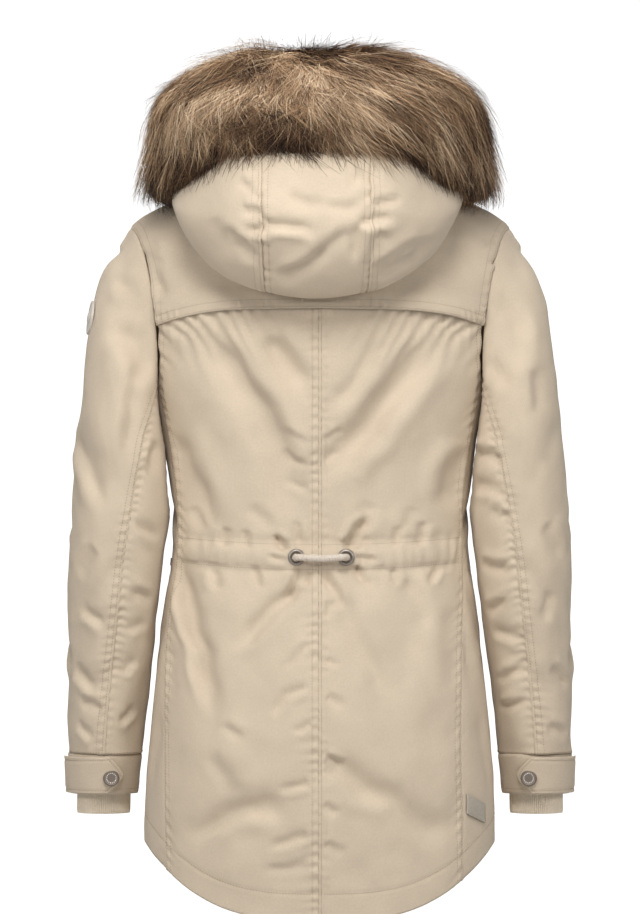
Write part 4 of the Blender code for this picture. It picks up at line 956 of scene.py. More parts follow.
# Creases of the back: start x, start z, end x, end z, half width, depth, lean of the ridge
BACK_CREASES = [
    ([(0.0583, -0.1588), (0.0378, -0.1858), (0.0097, -0.2171)], 0.012, -0.0058, 0.2),
    ([(0.1188, -0.1523), (0.0875, -0.1998), (0.0583, -0.2408), (0.0378, -0.2862), (0.0216, -0.3294)], 0.0135, -0.0078, 0.35),
    ([(0.1555, -0.2592), (0.1458, -0.297), (0.1285, -0.337), (0.1112, -0.3683)], 0.013, -0.0055, 0.3),
    ([(-0.1231, -0.1588), (-0.0832, -0.2106), (-0.0529, -0.2592), (-0.0162, -0.2959), (-0.0032, -0.3218)], 0.014, -0.0088, 0.3),
    ([(-0.0648, -0.162), (-0.0421, -0.203), (-0.0086, -0.2441)], 0.009, -0.004, 0.2),
    ([(-0.162, -0.2765), (-0.1404, -0.311), (-0.1328, -0.3478)], 0.013, -0.006, -0.5),
    ([(0.041, -0.257), (0.0259, -0.2678), (0.0097, -0.2765)], 0.0045, -0.0018, 0.3),
    ([(0.0432, -0.283), (0.0259, -0.2938), (0.0097, -0.2992)], 0.005, -0.0022, 0.3),
    ([(0.0378, -0.3132), (0.0097, -0.3262)], 0.0045, -0.0016, -0.3),
    ([(-0.0032, -0.27), (-0.027, -0.2592)], 0.0045, -0.0016, 0.3),
    ([(-0.0032, -0.2938), (-0.0216, -0.283)], 0.004, -0.0014, -0.3),
    ([(0.0756, -0.338), (0.0486, -0.3694)], 0.007, -0.0018, 0.2),
    ([(-0.0562, -0.3348), (-0.0346, -0.3694)], 0.008, -0.002, 0.2),
    ([(-0.0994, -0.3402), (-0.0886, -0.3694)], 0.007, -0.0015, -0.2),
    ([(0.1404, -0.3402), (0.1242, -0.3704)], 0.005, -0.002, 0.4),
    ([(0.1577, -0.3953), (0.1453, -0.445), (0.1296, -0.4936), (0.1183, -0.5476), (0.1112, -0.5746)], 0.009, -0.0065, -0.75),
    ([(0.0173, -0.4255), (0.0475, -0.445), (0.0756, -0.4763), (0.095, -0.4968)], 0.008, -0.0045, 0.3),
    ([(0.0022, -0.4158), (0.0216, -0.4223)], 0.004, -0.0018, 0.2),
    ([(0.0097, -0.5303), (0.0356, -0.5411), (0.0529, -0.5681)], 0.005, -0.0032, 0.4),
    ([(0.0076, -0.5702), (0.0302, -0.581)], 0.004, -0.0022, 0.3),
    ([(0.0086, -0.486), (0.0259, -0.499), (0.0367, -0.5162)], 0.005, -0.002, -0.3),
    ([(-0.0238, -0.432), (-0.0367, -0.473), (-0.0648, -0.5216), (-0.0875, -0.5573)], 0.013, -0.0042, 0.2),
    ([(-0.0875, -0.4158), (-0.1015, -0.4428), (-0.1188, -0.4774)], 0.01, -0.0032, 0.2),
    ([(-0.1274, -0.4061), (-0.1166, -0.4255)], 0.004, -0.003, 0.5),
    ([(-0.014, -0.4396), (-0.0065, -0.4622)], 0.005, -0.0022, 0.3),
    ([(-0.0054, -0.6059), (-0.027, -0.6156)], 0.004, -0.0032, 0.3),
    ([(-0.0065, -0.54), (-0.027, -0.553)], 0.0045, -0.0018, 0.3),
    ([(-0.0065, -0.5022), (-0.0216, -0.5119)], 0.004, -0.0016, -0.3),
    ([(0.0346, -0.6718), (0.054, -0.662), (0.0756, -0.661), (0.0983, -0.6685), (0.1242, -0.6869), (0.1447, -0.6998)], 0.01, -0.0055, 0.35),
    ([(0.0097, -0.6329), (0.0324, -0.6394), (0.0443, -0.6448)], 0.0045, -0.003, 0.3),
    ([(0.0097, -0.6869), (0.0324, -0.6955), (0.0583, -0.702)], 0.0055, -0.0032, 0.3),
    ([(0.0097, -0.7171), (0.0378, -0.7236), (0.0626, -0.7258)], 0.005, -0.0022, -0.3),
    ([(0.1231, -0.6048), (0.0983, -0.6275), (0.0864, -0.6545)], 0.01, -0.0022, 0.2),
    ([(0.0486, -0.3704), (0.0400, -0.3800), (0.0324, -0.3899)], 0.0042, -0.0040, 0.3),
    ([(0.0238, -0.3550), (0.0220, -0.3850)], 0.004, -0.0022, 0.3),
    ([(-0.0259, -0.3870), (-0.0406, -0.3650), (-0.0551, -0.3505)], 0.0055, -0.0050, 0.4),
    ([(-0.0320, -0.3840), (-0.0560, -0.3740)], 0.0035, -0.0020, -0.3),
    ([(0.0230, -0.4060), (0.0281, -0.4266), (0.0378, -0.4433)], 0.0055, -0.0045, -0.4),
    ([(0.0120, -0.4090), (0.0140, -0.4260)], 0.0035, -0.0022, 0.3),
    ([(-0.0011, -0.4093), (-0.0137, -0.4263), (-0.0281, -0.4531)], 0.006, -0.0040, 0.4),
    ([(-0.0356, -0.4067), (-0.0450, -0.4160), (-0.0551, -0.4263)], 0.0045, -0.0034, 0.3),
    ([(0.0560, -0.3942), (0.0324, -0.3974)], 0.003, -0.0022, 0.3),
    ([(-0.0356, -0.3942), (-0.0648, -0.3974)], 0.003, -0.0022, 0.3),
    ([(0.0800, -0.3650), (0.0760, -0.3860)], 0.004, -0.0020, 0.3),
    ([(0.1010, -0.3620), (0.1060, -0.3860)], 0.0045, -0.0024, -0.3),
    ([(-0.0850, -0.3620), (-0.0800, -0.3850)], 0.004, -0.0022, 0.3),
    ([(-0.1120, -0.3560), (-0.1060, -0.3850)], 0.005, -0.0026, 0.3),
    ([(0.0700, -0.4060), (0.0640, -0.4290)], 0.0045, -0.0024, 0.3),
    ([(0.1150, -0.4060), (0.1110, -0.4330)], 0.005, -0.0026, -0.3),
    ([(-0.0780, -0.4060), (-0.0840, -0.4260)], 0.004, -0.0022, 0.3),
    ([(-0.0022, -0.6113), (-0.0238, -0.6221), (-0.0475, -0.6394), (-0.0767, -0.648), (-0.0972, -0.6458)], 0.011, -0.005, -0.3),
    ([(-0.0702, -0.6566), (-0.1026, -0.675), (-0.1361, -0.6977)], 0.013, -0.0034, 0.2),
    ([(-0.0032, -0.6556), (-0.0194, -0.6664)], 0.0045, -0.0024, 0.3),
    ([(-0.0032, -0.6977), (-0.027, -0.7085)], 0.005, -0.002, 0.3),
    ([(0.1037, -0.5724), (0.081, -0.5886)], 0.006, -0.0022, 0.3),
    ([(0.162, -0.486), (0.1555, -0.5508)], 0.009, -0.002, 0.2),
    ([(-0.1382, -0.4428), (-0.1426, -0.54)], 0.01, -0.002, -0.2),
]


def yoke_join(x, z, seed):
    """Small tucks that hang from the yoke seam, deepest over the shoulder blades."""
    below = yoke_seam(x) - z
    pitch = 0.0145
    place = np.abs(x) + 0.5 * np.maximum(below, 0)
    wander = place + 0.35 * pitch * cloud(place, below, 0.026, seed)
    wave = (0.5 + 0.5 * np.cos(2 * math.pi * wander / pitch)) ** 1.3
    length = 0.032 + 0.020 * cloud(place, 0 * x, 0.016, seed + 3)
    strength = 0.18 + 0.82 * smooth(0.035, 0.085, place) * (1 - 0.5 * smooth(0.150, 0.172, place))
    fine = (0.5 + 0.5 * np.cos(2 * math.pi * (x + 0.002 * cloud(x, z, 0.02, seed + 5)) / 0.0078)) ** 1.5
    hang = np.maximum(below, 0)
    return (-0.0044 * wave * strength * bell(hang / length)
            - 0.0013 * fine * (1 - strength) * bell(hang / 0.014)) * smooth(-0.002, 0.001, below)


def casing_tucks(x, z):
    """Gathers of the waist casing where the cord draws it in."""
    away = (z - casing_level(x)) / CASING_HALF
    pitch = 0.0125
    wander = x + 0.6 * pitch * cloud(x, z, 0.022, 41)
    wave = (0.5 + 0.5 * np.cos(2 * math.pi * wander / pitch)) ** 1.8
    strength = 0.3 + 0.7 * np.clip(cloud(x, 0 * x, 0.05, 44) + 0.4, 0, 1)
    band = bell(away / 1.25)
    grooves = -0.0009 * (bell((away - 0.90) / 0.10) + bell((away + 0.90) / 0.10))
    return -0.0026 * wave * strength * band + grooves


def casing_ease(x, z):
    """Takes the sharp edge off the casing's puffed profile."""
    room = np.maximum(1 - ((z - casing_level(x)) / CASING_HALF) ** 2, 0.0)
    return CASING_PUFF * (room ** 1.2 - np.sqrt(room))


def back_piece(side):
    name = "back_left" if side > 0 else "back_right"
    us = np.unique(np.concatenate([np.linspace(0, 0.11, 13), np.linspace(0.11, 0.91, 38), np.linspace(0.91, 1, 10)]))
    vs = np.unique(np.concatenate([np.linspace(0, 0.92, 254), np.linspace(0.92, 1, 26)]))
    u, v = np.meshgrid(us, vs)
    place = back_place(side, u, v)
    panel = Panel(place, points(0, 1, 0))
    x, z = place[..., 0], place[..., 2]
    deeper = 1.2 + 0.7 * bell((z - casing_level(x)) / 0.045)
    closed = smooth(0.0, 0.014, panel.edge("end"))
    height = (deeper * crease_relief(x, z, BACK_CREASES) + soft_waves(x, z, 5, 0.0014)) * closed
    height = height + panel.seam("start", pitch=0.0112, reach=0.011, depth=0.0016 + 0.0006 * side, seed=11 + side)
    height = height + panel.seam("end", pitch=0.0125, reach=0.011, depth=0.0016, seed=17 + side)
    hem = panel.edge("bottom")
    height = height - 0.0007 * bell((hem - HEM_BAND) / 0.0018) + 0.0006 * (1 - smooth(0.0, HEM_BAND, hem))
    along = panel.along("bottom")
    tucks = (0.5 + 0.5 * np.cos(2 * math.pi * (along + 0.006 * cloud(along, hem, 0.03, 23) + 0.3 * hem) / 0.016)) ** 1.5
    height = height - 0.0007 * tucks * bell((hem - HEM_BAND) / 0.012) * (0.5 + 0.5 * cloud(along, 0 * hem, 0.05, 29))
    height = height + yoke_join(x, z, 31) + (casing_tucks(x, z) + casing_ease(x, z)) * closed
    panel.raise_by(height)
    cloth = dress(cloth_object(name + "_cloth", panel, twill(), tucks=("start", "end")), "twill", name)
    lines = [panel.line("start", 0.0016), panel.line("end", 0.0016), panel.line("end", TWIN_ROW),
             panel.line("bottom", HEM_BAND)]
    if side > 0:
        lines.append(panel.line("start", TWIN_ROW))
    for offset in (-0.0132, 0.0132):
        lines.append(surface_line(panel, lambda x, offset=offset: casing_level(x) + offset))
    stitches("stitching_" + name, lines, thread(), "twill")
    return panel


def surface_line(panel, level):
    """The polyline on a panel at height level(x), column by column."""
    track, facing = [], []
    for k in range(panel.place.shape[1]):
        x, z = panel.place[:, k, 0], panel.place[:, k, 2]
        gap = z - level(x)
        crossing = np.nonzero(gap[:-1] * gap[1:] <= 0)[0]
        if len(crossing):
            j = crossing[0]
            t = gap[j] / (gap[j] - gap[j + 1] + 1e-12)
            track.append(mix(panel.place[j, k], panel.place[j + 1, k], t))
            facing.append(panel.normal[j, k])
    return np.array(track), np.array(facing)


def yoke_place(u, v):
    share = 1 - 2 * u
    rise = np.sin(v * math.pi / 2)
    level = mix(yoke_seam(YOKE_HALF_WIDTH), ARMHOLE_TOP - 0.0002, rise)
    x = share * (edge_x(level, 1, False) - HALF_SEAM)
    bottom, top = yoke_seam(x), neck_edge_z(x, False)
    z = mix(bottom, top, rise)
    proud = YOKE_PROUD * (1 - smooth(YOKE_LAP + 0.002, YOKE_LAP + 0.024, z - bottom))
    return points(x, body_y(x, z) + HALF_SEAM + proud, z)


YOKE_CREASES = [
    ([(0.1944, -0.0594), (0.1836, -0.0778), (0.1663, -0.1188)], 0.008, -0.0022, 0.3),
    ([(0.1825, -0.0605), (0.1696, -0.067)], 0.004, -0.0012, 0.3),
    ([(0.1804, -0.0778), (0.1652, -0.0799)], 0.004, -0.0012, 0.3),
    ([(0.1782, -0.0994), (0.1663, -0.1188)], 0.005, -0.002, -0.3),
    ([(-0.1912, -0.0778), (-0.1793, -0.0821)], 0.0035, -0.0022, 0.5),
    ([(-0.1912, -0.054), (-0.175, -0.0605)], 0.004, -0.0012, 0.3),
    ([(0.1512, -0.0648), (0.1134, -0.108)], 0.014, -0.002, 0.2),
    ([(-0.1534, -0.054), (-0.1296, -0.1026)], 0.014, -0.002, -0.2),
]


def yoke_piece():
    half = np.unique(np.concatenate([np.linspace(0, 0.86, 46), np.linspace(0.86, 1, 13)]))
    us = np.concatenate([(1 - half[::-1]) / 2, (1 + half[1:]) / 2])
    vs = np.unique(np.concatenate([np.linspace(0, 0.12, 14), np.linspace(0.12, 1, 40)]))
    u, v = np.meshgrid(us, vs)
    place = yoke_place(u, v)
    panel = Panel(place, points(0, 1, 0.2))
    x, z = place[..., 0], place[..., 2]
    height = 1.4 * crease_relief(x, z, YOKE_CREASES) + soft_waves(x, z, 15, 0.0009)
    height = height + panel.seam("bottom", roll=0.0008, row=0.0095, pitch=0.0085, reach=0.008, depth=0.0026, seed=51)
    for number, edge in enumerate(("start", "end")):
        height = height + panel.seam(edge, row=0.0100, pitch=0.011, reach=0.011, depth=0.0022,
                                     seed=57 + number)
    panel.raise_by(height)
    cloth = dress(cloth_object("yoke_cloth", panel, twill(), tucks=("start", "end")), "twill", "yoke")
    lines = [panel.line("bottom", 0.0018), panel.line("bottom", 0.0095)]
    for edge in ("start", "end"):
        lines += [panel.line(edge, 0.0018), panel.line(edge, 0.0100)]
    stitches("stitching_yoke", lines, thread(), "twill")
    return panel


def front_place(side, u, v):
    share = 0.72
    x = 0.17 * u
    for _ in range(5):
        low_z = mix(front_hem(x), SIDE_SEAM_TOP, np.minimum(v / share, 1.0))
        x = mix(SEAM / 2, seam_x(low_z, side, True) - HALF_SEAM, u)
    t = np.clip((v - share) / (1 - share), 0.0, 1.0)
    level = mix(SIDE_SEAM_TOP, ARMHOLE_TOP - 0.0001, t)
    high_x = mix(SEAM / 2, edge_x(level, side, True) - HALF_SEAM, u)
    high_z = mix(SIDE_SEAM_TOP, neck_edge_z(mix(SEAM / 2, SHOULDER_TIP, u), True), t)
    upper = v > share
    x, z = np.where(upper, high_x, x), np.where(upper, high_z, low_z)
    return points(side * x, body_y(x, z, True) - HALF_SEAM, z)


FRONT_CREASES = [
    ([(0.150, -0.150), (0.080, -0.235)], 0.012, -0.0032, 0.5),
    ([(0.140, -0.215), (0.095, -0.300)], 0.011, -0.0029, -0.5),
    ([(0.145, -0.330), (0.070, -0.392)], 0.012, -0.0032, 0.4),
    ([(0.060, -0.345), (0.120, -0.398)], 0.010, -0.0026, 0.4),
    ([(0.150, -0.430), (0.110, -0.520)], 0.014, -0.0035, -0.5),
    ([(0.060, -0.430), (0.085, -0.540)], 0.015, -0.0032, 0.4),
    ([(0.130, -0.560), (0.075, -0.640)], 0.016, -0.0029, 0.4),
    ([(0.180, -0.070), (0.120, -0.120)], 0.012, -0.0022, 0.4),
]


def front_piece(side):
    name = "front_left" if side > 0 else "front_right"
    us = np.unique(np.concatenate([np.linspace(0, 0.92, 28), np.linspace(0.92, 1, 7)]))
    vs = np.unique(np.concatenate([np.linspace(0, 0.05, 10), np.linspace(0.05, 0.72, 80), np.linspace(0.72, 1, 36)]))
    u, v = np.meshgrid(us, vs)
    place = front_place(side, u, v)
    panel = Panel(place, points(0, -1, 0.1))
    x, z = place[..., 0], place[..., 2]
    closed = smooth(0.0, 0.014, panel.edge("end"))
    height = (1.5 * crease_relief(np.abs(x), z, FRONT_CREASES) + soft_waves(x, z, 65)) * closed
    height = height + panel.seam("end", pitch=0.0125, reach=0.012, depth=0.0009, seed=61 + side)
    hem = panel.edge("bottom")
    height = height - 0.0007 * bell((hem - HEM_BAND) / 0.0018)
    height = height - 0.0008 * bell((z - casing_level(0.15)) / 0.006) * smooth(0.03, 0.06, np.abs(x))
    panel.raise_by(height)
    cloth = dress(cloth_object(name + "_cloth", panel, twill(), tucks=("end",)), "twill", name)
    lines = [panel.line("end", 0.0016), panel.line("end", TWIN_ROW), panel.line("bottom", HEM_BAND)]
    for offset in (-0.0132, 0.0132):
        lines.append(surface_line(panel, lambda x, offset=offset: casing_level(0.15) + offset + 0 * x))
    stitches("stitching_" + name, lines, thread(), "twill")


def side_place(side, u, v):
    middle = (ARMHOLE_TOP + ARMHOLE_BOTTOM) / 2
    half = (ARMHOLE_TOP - ARMHOLE_BOTTOM) / 2
    z = mix(SIDE_HEM, SIDE_SEAM_TOP, v)
    for _ in range(5):
        back = body_y(seam_x(z, side, False), z, False) - HALF_SEAM
        front = body_y(seam_x(z, side, True), z, True) + HALF_SEAM
        y = mix(back, front, u)
        reach = np.where(y > 0, ARMHOLE_BACK, ARMHOLE_FRONT)
        top = middle - half * np.sqrt(np.maximum(1 - (y / reach) ** 2, 0.0)) - SEAM
        inner = np.minimum(1.0, np.minimum(20 * u, 20 * (1 - u)))
        top = mix(SIDE_SEAM_TOP, np.minimum(top, SIDE_SEAM_TOP), inner)
        x = body_x(y, z)
        z = mix(np.where(y > 0, back_hem(x), front_hem(x)), top, v)
    return points(side * body_x(y, z), y, z)


SIDE_CREASES = [
    ([(0.085, -0.430), (0.050, -0.540)], 0.010, -0.0032, 0.5),
    ([(0.040, -0.420), (0.020, -0.500)], 0.010, -0.0028, 0.4),
    ([(-0.030, -0.420), (-0.050, -0.520)], 0.011, -0.0030, -0.4),
    ([(0.060, -0.560), (0.040, -0.660)], 0.012, -0.0024, 0.4),
    ([(-0.020, -0.330), (0.040, -0.372)], 0.010, -0.0026, 0.4),
]


def side_piece(side):
    name = "side_panel_left" if side > 0 else "side_panel_right"
    us = np.unique(np.concatenate([np.linspace(0, 0.08, 6), np.linspace(0.08, 0.92, 26), np.linspace(0.92, 1, 6)]))
    vs = np.unique(np.concatenate([np.linspace(0, 0.06, 10), np.linspace(0.06, 1, 130)]))
    u, v = np.meshgrid(us, vs)
    place = side_place(side, u, v)
    panel = Panel(place, points(side, 0, 0))
    y, z = place[..., 1], place[..., 2]
    closed = smooth(0.0, 0.014, np.minimum(panel.edge("start"), panel.edge("end")))
    height = soft_waves(y, z, 75 + side, 0.0008) + crease_relief(y, z, SIDE_CREASES) + casing_tucks(y, z + 0.003)
    height = height * closed
    for number, edge in enumerate(("start", "end")):
        height = height + panel.seam(edge, row=0, pitch=0.0125, reach=0.012, depth=0.0009, seed=71 + number)
    hem = panel.edge("bottom")
    height = height - 0.0007 * bell((hem - HEM_BAND) / 0.0018)
    panel.raise_by(height)
    cloth = dress(cloth_object(name + "_cloth", panel, twill(), tucks=("start", "end", "top")), "twill", name)
    lines = [panel.line("bottom", HEM_BAND)]
    stitches("stitching_" + name, lines, thread(), "twill")
    return panel


def placket_piece():
    us = np.linspace(0, 1, 15)
    vs = np.linspace(0, 1, 110)
    u, v = np.meshgrid(us, vs)
    x = mix(-PLACKET_HALF_WIDTH, PLACKET_HALF_WIDTH, u)
    z = mix(front_hem(x) + 0.001, PLACKET_TOP, v)
    panel = Panel(points(x, body_y(x, z, True) - PLACKET_PROUD, z), points(0, -1, 0))
    height = soft_waves(x, z, 85, 0.0006, 0.03)
    for number, edge in enumerate(("start", "end")):
        height = height + panel.seam(edge, roll=0.0012, row=0.006, pitch=0.011, reach=0.007, depth=0.0006,
                                     seed=81 + number)
    panel.raise_by(height)
    cloth = dress(cloth_object("placket_cloth", panel, twill(), tucks=("start", "end"), run=0.0016,
                               drop=PLACKET_PROUD), "twill", "placket")
    lines = [panel.line("start", 0.006), panel.line("end", 0.006), panel.line("top", 0.006)]
    stitches("stitching_placket", lines, thread(), "twill")


# ---------------------------------------------------------------- sleeve pieces
# Creases of the sleeves, by angle and height
LEFT_CREASES = [
    ([(53, -0.0648), (81, -0.0972), (110, -0.1318)], 0.009, -0.0038, 0.3),
    ([(36, -0.0983), (65, -0.108), (82, -0.1145)], 0.007, -0.0024, 0.3),
    ([(58, -0.1501), (82, -0.1642), (98, -0.1879), (102, -0.2225)], 0.009, -0.0036, 0.3),
    ([(0, -0.2581), (48, -0.3002), (79, -0.3456)], 0.011, -0.0032, 0.3),
    ([(98, -0.2095), (100, -0.2484), (96, -0.2938)], 0.009, -0.0026, 0.2),
    ([(109, -0.3596), (149, -0.3748)], 0.006, -0.002, 0.3),
    ([(65, -0.3834), (39, -0.419)], 0.009, -0.0022, 0.2),
    ([(43, -0.4493), (85, -0.4687)], 0.006, -0.0024, 0.3),
    ([(31, -0.513), (77, -0.5378)], 0.007, -0.0028, 0.3),
    ([(111, -0.5216), (131, -0.5022)], 0.005, -0.0022, 0.3),
    ([(49, -0.5476), (89, -0.5605)], 0.006, -0.0022, -0.3),
    ([(41, -0.5746), (76, -0.5908)], 0.005, -0.002, 0.3),
    ([(111, -0.5756), (142, -0.5551)], 0.005, -0.0024, 0.3),
    ([(112, -0.4298), (147, -0.4428)], 0.006, -0.002, -0.3),
    ([(111, -0.473), (141, -0.4644)], 0.005, -0.0018, 0.3),
    ([(140, -0.27), (125, -0.3089)], 0.007, -0.0022, 0.3),
]
RIGHT_CREASES = [
    ([(85, -0.108), (70, -0.1382), (72, -0.1728)], 0.011, -0.0022, 0.3),
    ([(58, -0.1901), (59, -0.2441)], 0.01, -0.0022, -0.3),
    ([(107, -0.1814), (94, -0.2182)], 0.009, -0.002, 0.2),
    ([(157, -0.283), (124, -0.2862), (107, -0.2948)], 0.006, -0.0028, 0.3),
    ([(158, -0.3175), (125, -0.3218), (108, -0.3305)], 0.006, -0.0026, -0.3),
    ([(129, -0.3424), (103, -0.3542)], 0.005, -0.0022, 0.3),
    ([(157, -0.4018), (120, -0.4061), (112, -0.419)], 0.006, -0.0028, 0.3),
    ([(155, -0.4536), (114, -0.4406)], 0.006, -0.0024, 0.3),
    ([(150, -0.4741), (118, -0.4795), (97, -0.486)], 0.006, -0.0022, -0.3),
    ([(147, -0.5281), (100, -0.513)], 0.005, -0.0022, 0.3),
    ([(148, -0.5594), (100, -0.5486)], 0.005, -0.002, 0.3),
    ([(73, -0.5767), (34, -0.5843)], 0.006, -0.0018, 0.3),
    ([(63, -0.5119), (27, -0.5357)], 0.006, -0.002, 0.3),
    ([(59, -0.3564), (38, -0.3996)], 0.009, -0.002, 0.2),
    ([(54, -0.432), (73, -0.4666)], 0.008, -0.0018, 0.2),
]
# Creases on the hidden front of both sleeves
FRONT_SLEEVE_CREASES = [
    ([(-60, -0.180), (-20, -0.260)], 0.010, -0.0030, 0.4),
    ([(-95, -0.290), (-40, -0.340)], 0.009, -0.0030, 0.5),
    ([(-90, -0.360), (-45, -0.385)], 0.008, -0.0030, -0.5),
    ([(-80, -0.400), (-30, -0.450)], 0.009, -0.0026, 0.4),
    ([(-95, -0.500), (-50, -0.545)], 0.008, -0.0024, 0.4),
    ([(-20, -0.330), (10, -0.380)], 0.009, -0.0024, 0.3),
    ([(-10, -0.480), (20, -0.520)], 0.009, -0.0022, 0.3),
]


def sleeve_piece(side, under):
    where = "left" if side > 0 else "right"
    name = ("under_sleeve_" if under else "outer_sleeve_") + where
    count = 26 if under else 52
    us = np.unique(np.concatenate([np.linspace(0, 0.05, 6), np.linspace(0.05, 0.95, count), np.linspace(0.95, 1, 6)]))
    vs = np.unique(np.concatenate([np.linspace(0, 0.03, 7), np.linspace(0.03, 1, 205)]))
    u, v = np.meshgrid(us, 1 - vs)
    level = mix(-0.206, CUFF_TOP, v)
    slip = math.degrees(0.0004 / 0.055)
    back, front = curve(SLEEVE_SEAMS, level, 1), curve(SLEEVE_SEAMS, level, 2)
    first, last = (back + slip, front - slip) if under else (front - 360 + slip, back - slip)
    angle = mix(first, last, u)
    place = sleeve_point(angle, v)
    axis = points(curve(SLEEVE, place[..., 2], 1), curve(SLEEVE, place[..., 2], 2), place[..., 2])
    panel = Panel(place * [side, 1, 1], (place - axis) * [side, 1, 1])
    arc, z = np.radians(angle) * SLEEVE_SCALE, place[..., 2]
    creases = (LEFT_CREASES if side > 0 else RIGHT_CREASES) + FRONT_SLEEVE_CREASES
    rows = [([(math.radians(turned_to) * SLEEVE_SCALE, at) for turned_to, at in track], width, depth, lean)
            for track, width, depth, lean in creases]
    ease = smooth(0.0, 0.06, v)
    height = (2.1 * crease_relief(arc, z, rows) + soft_waves(arc, z, 105 + side, 0.0016)) * ease
    for number, edge in enumerate(("start", "end")):
        height = height + panel.seam(edge, row=0 if under else TWIN_ROW, pitch=0.0102, reach=0.0105, depth=0.0022,
                                     seed=111 + number + side)
    height = height - 0.0009 * bell(panel.edge("top") / 0.0022) + 0.0005 * bell(panel.edge("bottom") / 0.004)
    away, along = panel.edge("top"), panel.along("top")
    tucks = (0.5 + 0.5 * np.cos(2 * math.pi * (along + 0.004 * cloud(along, away, 0.02, 121)) / 0.011)) ** 1.6
    height = height - 0.0008 * tucks * bell(away / 0.016) * smooth(0, 0.004, away)
    panel.raise_by(height)
    cloth = dress(cloth_object(name + "_cloth", panel, twill(), tucks=("start", "end", "top"), run=0.0024,
                               drop=0.0014), "twill", name)
    lines = []
    if not under:
        lines = [panel.line("end", 0.0016), panel.line("end", TWIN_ROW), panel.line("start", 0.0016),
                 panel.line("start", TWIN_ROW), panel.line("bottom", 0.0016)]
    else:
        lines = [panel.line("bottom", 0.0016)]
    stitches("stitching_" + name, lines, thread(), "twill")


def cuff_piece(side):
    where = "left" if side > 0 else "right"
    us, vs = np.linspace(0, 1, 97), np.linspace(0, 1, 20)
    u, v = np.meshgrid(us, 1 - vs)
    place = cuff_point(360 * u, v)
    centre = points(curve(SLEEVE, place[..., 2], 1), curve(SLEEVE, place[..., 2], 2), place[..., 2])
    panel = Panel(place * [side, 1, 1], (place - centre) * [side, 1, 1])
    height = soft_waves(panel.across, panel.up, 131, 0.0005, 0.025)
    height = height - 0.0012 * bell(panel.edge("top") / 0.0022) - 0.0010 * bell(panel.edge("bottom") / 0.0022)
    height = height - 0.0004 * bell((panel.edge("bottom") - 0.006) / 0.0015)
    panel.raise_by(height * smooth(0, 0.02, np.minimum(u, 1 - u)) + 0 * u)
    cloth = dress(cloth_object("cuff_cloth_" + where, panel, twill(), closed=True), "twill", "cuff_" + where)
    stitches("stitching_cuff_" + where, [panel.line("bottom", 0.006)], thread(), "twill")


def rib_piece(side):
    where = "left" if side > 0 else "right"
    seat = CUFF_PROUD - WALL - RIB_HEIGHT - RIB_CLEAR
    top = [float(curve(SLEEVE, RIB_TOP, column)) + seat for column in (3, 4)]
    us, vs = np.linspace(0, 1, 4 * RIB_COUNT + 1), np.linspace(0, 1, 9)
    u, v = np.meshgrid(us, vs)
    turn = 2 * math.pi * u
    z = mix(RIB_BOTTOM, RIB_TOP, v)
    ridge = 1.7 * RIB_HEIGHT * (np.abs(np.cos(0.5 * RIB_COUNT * turn)) ** 0.8 - 0.60) - 0.0006 * bell(v / 0.06)
    spread_out = smooth(RIB_SPREAD, 1.0, v)
    out = points(np.cos(turn), np.sin(turn), 0)
    x = curve(SLEEVE, z, 1) + (mix(RIB_HALF_WIDTH, top[0], spread_out) + ridge) * np.cos(turn)
    y = curve(SLEEVE, z, 2) + (mix(RIB_HALF_DEPTH, top[1], spread_out) + ridge) * np.sin(turn)
    panel = Panel(points(x, y, z) * [side, 1, 1], out * [side, 1, 1])
    # The knit's colours are lighter than the knit itself: painted light that makes up for the shade the cuff casts on
    # the rib.
    knit = cloth_material("ribbed knit", rgb(248, 234, 212), rgb(224, 208, 184), threads=900.0, bump=0.0005)
    cloth = dress(cloth_object("rib_knit_" + where, panel, knit, closed=True), "rib_knit", "rib_cuff_" + where)


def tab_piece(side):
    where = "left" if side > 0 else "right"
    us, vs = np.linspace(0, 1, 44), np.linspace(0, 1, 24)
    u, v = np.meshgrid(us, vs)
    reach = mix(TAB_POINT, TAB_SHOULDER, np.abs(2 * v - 1) ** 1.3)
    place = cuff_point(mix(TAB_START, reach, u), mix(0.97, 0.06, v), TAB_PROUD)
    centre = points(curve(SLEEVE, place[..., 2], 1), curve(SLEEVE, place[..., 2], 2), place[..., 2])
    panel = Panel(place * [side, 1, 1], (place - centre) * [side, 1, 1])
    height = soft_waves(panel.across, panel.up, 141, 0.0003, 0.02)
    for edge in ("end", "bottom", "top"):
        height = height - 0.0005 * bell(panel.edge(edge) / 0.0010) - 0.0009 * bell((panel.edge(edge) - 0.0045) / 0.0013)
    panel.raise_by(height + 0.0015)
    cloth = dress(cloth_object("tab_cloth_" + where, panel, twill(), shell=TAB_THICKNESS), "twill", "cuff_tab_" + where)
    lines = [panel.line(edge, 0.0045, 0.003) for edge in ("end", "bottom", "top")]
    stitches("stitching_tab_" + where, lines, thread(), "twill", pitch=0.0026, length=0.0019)


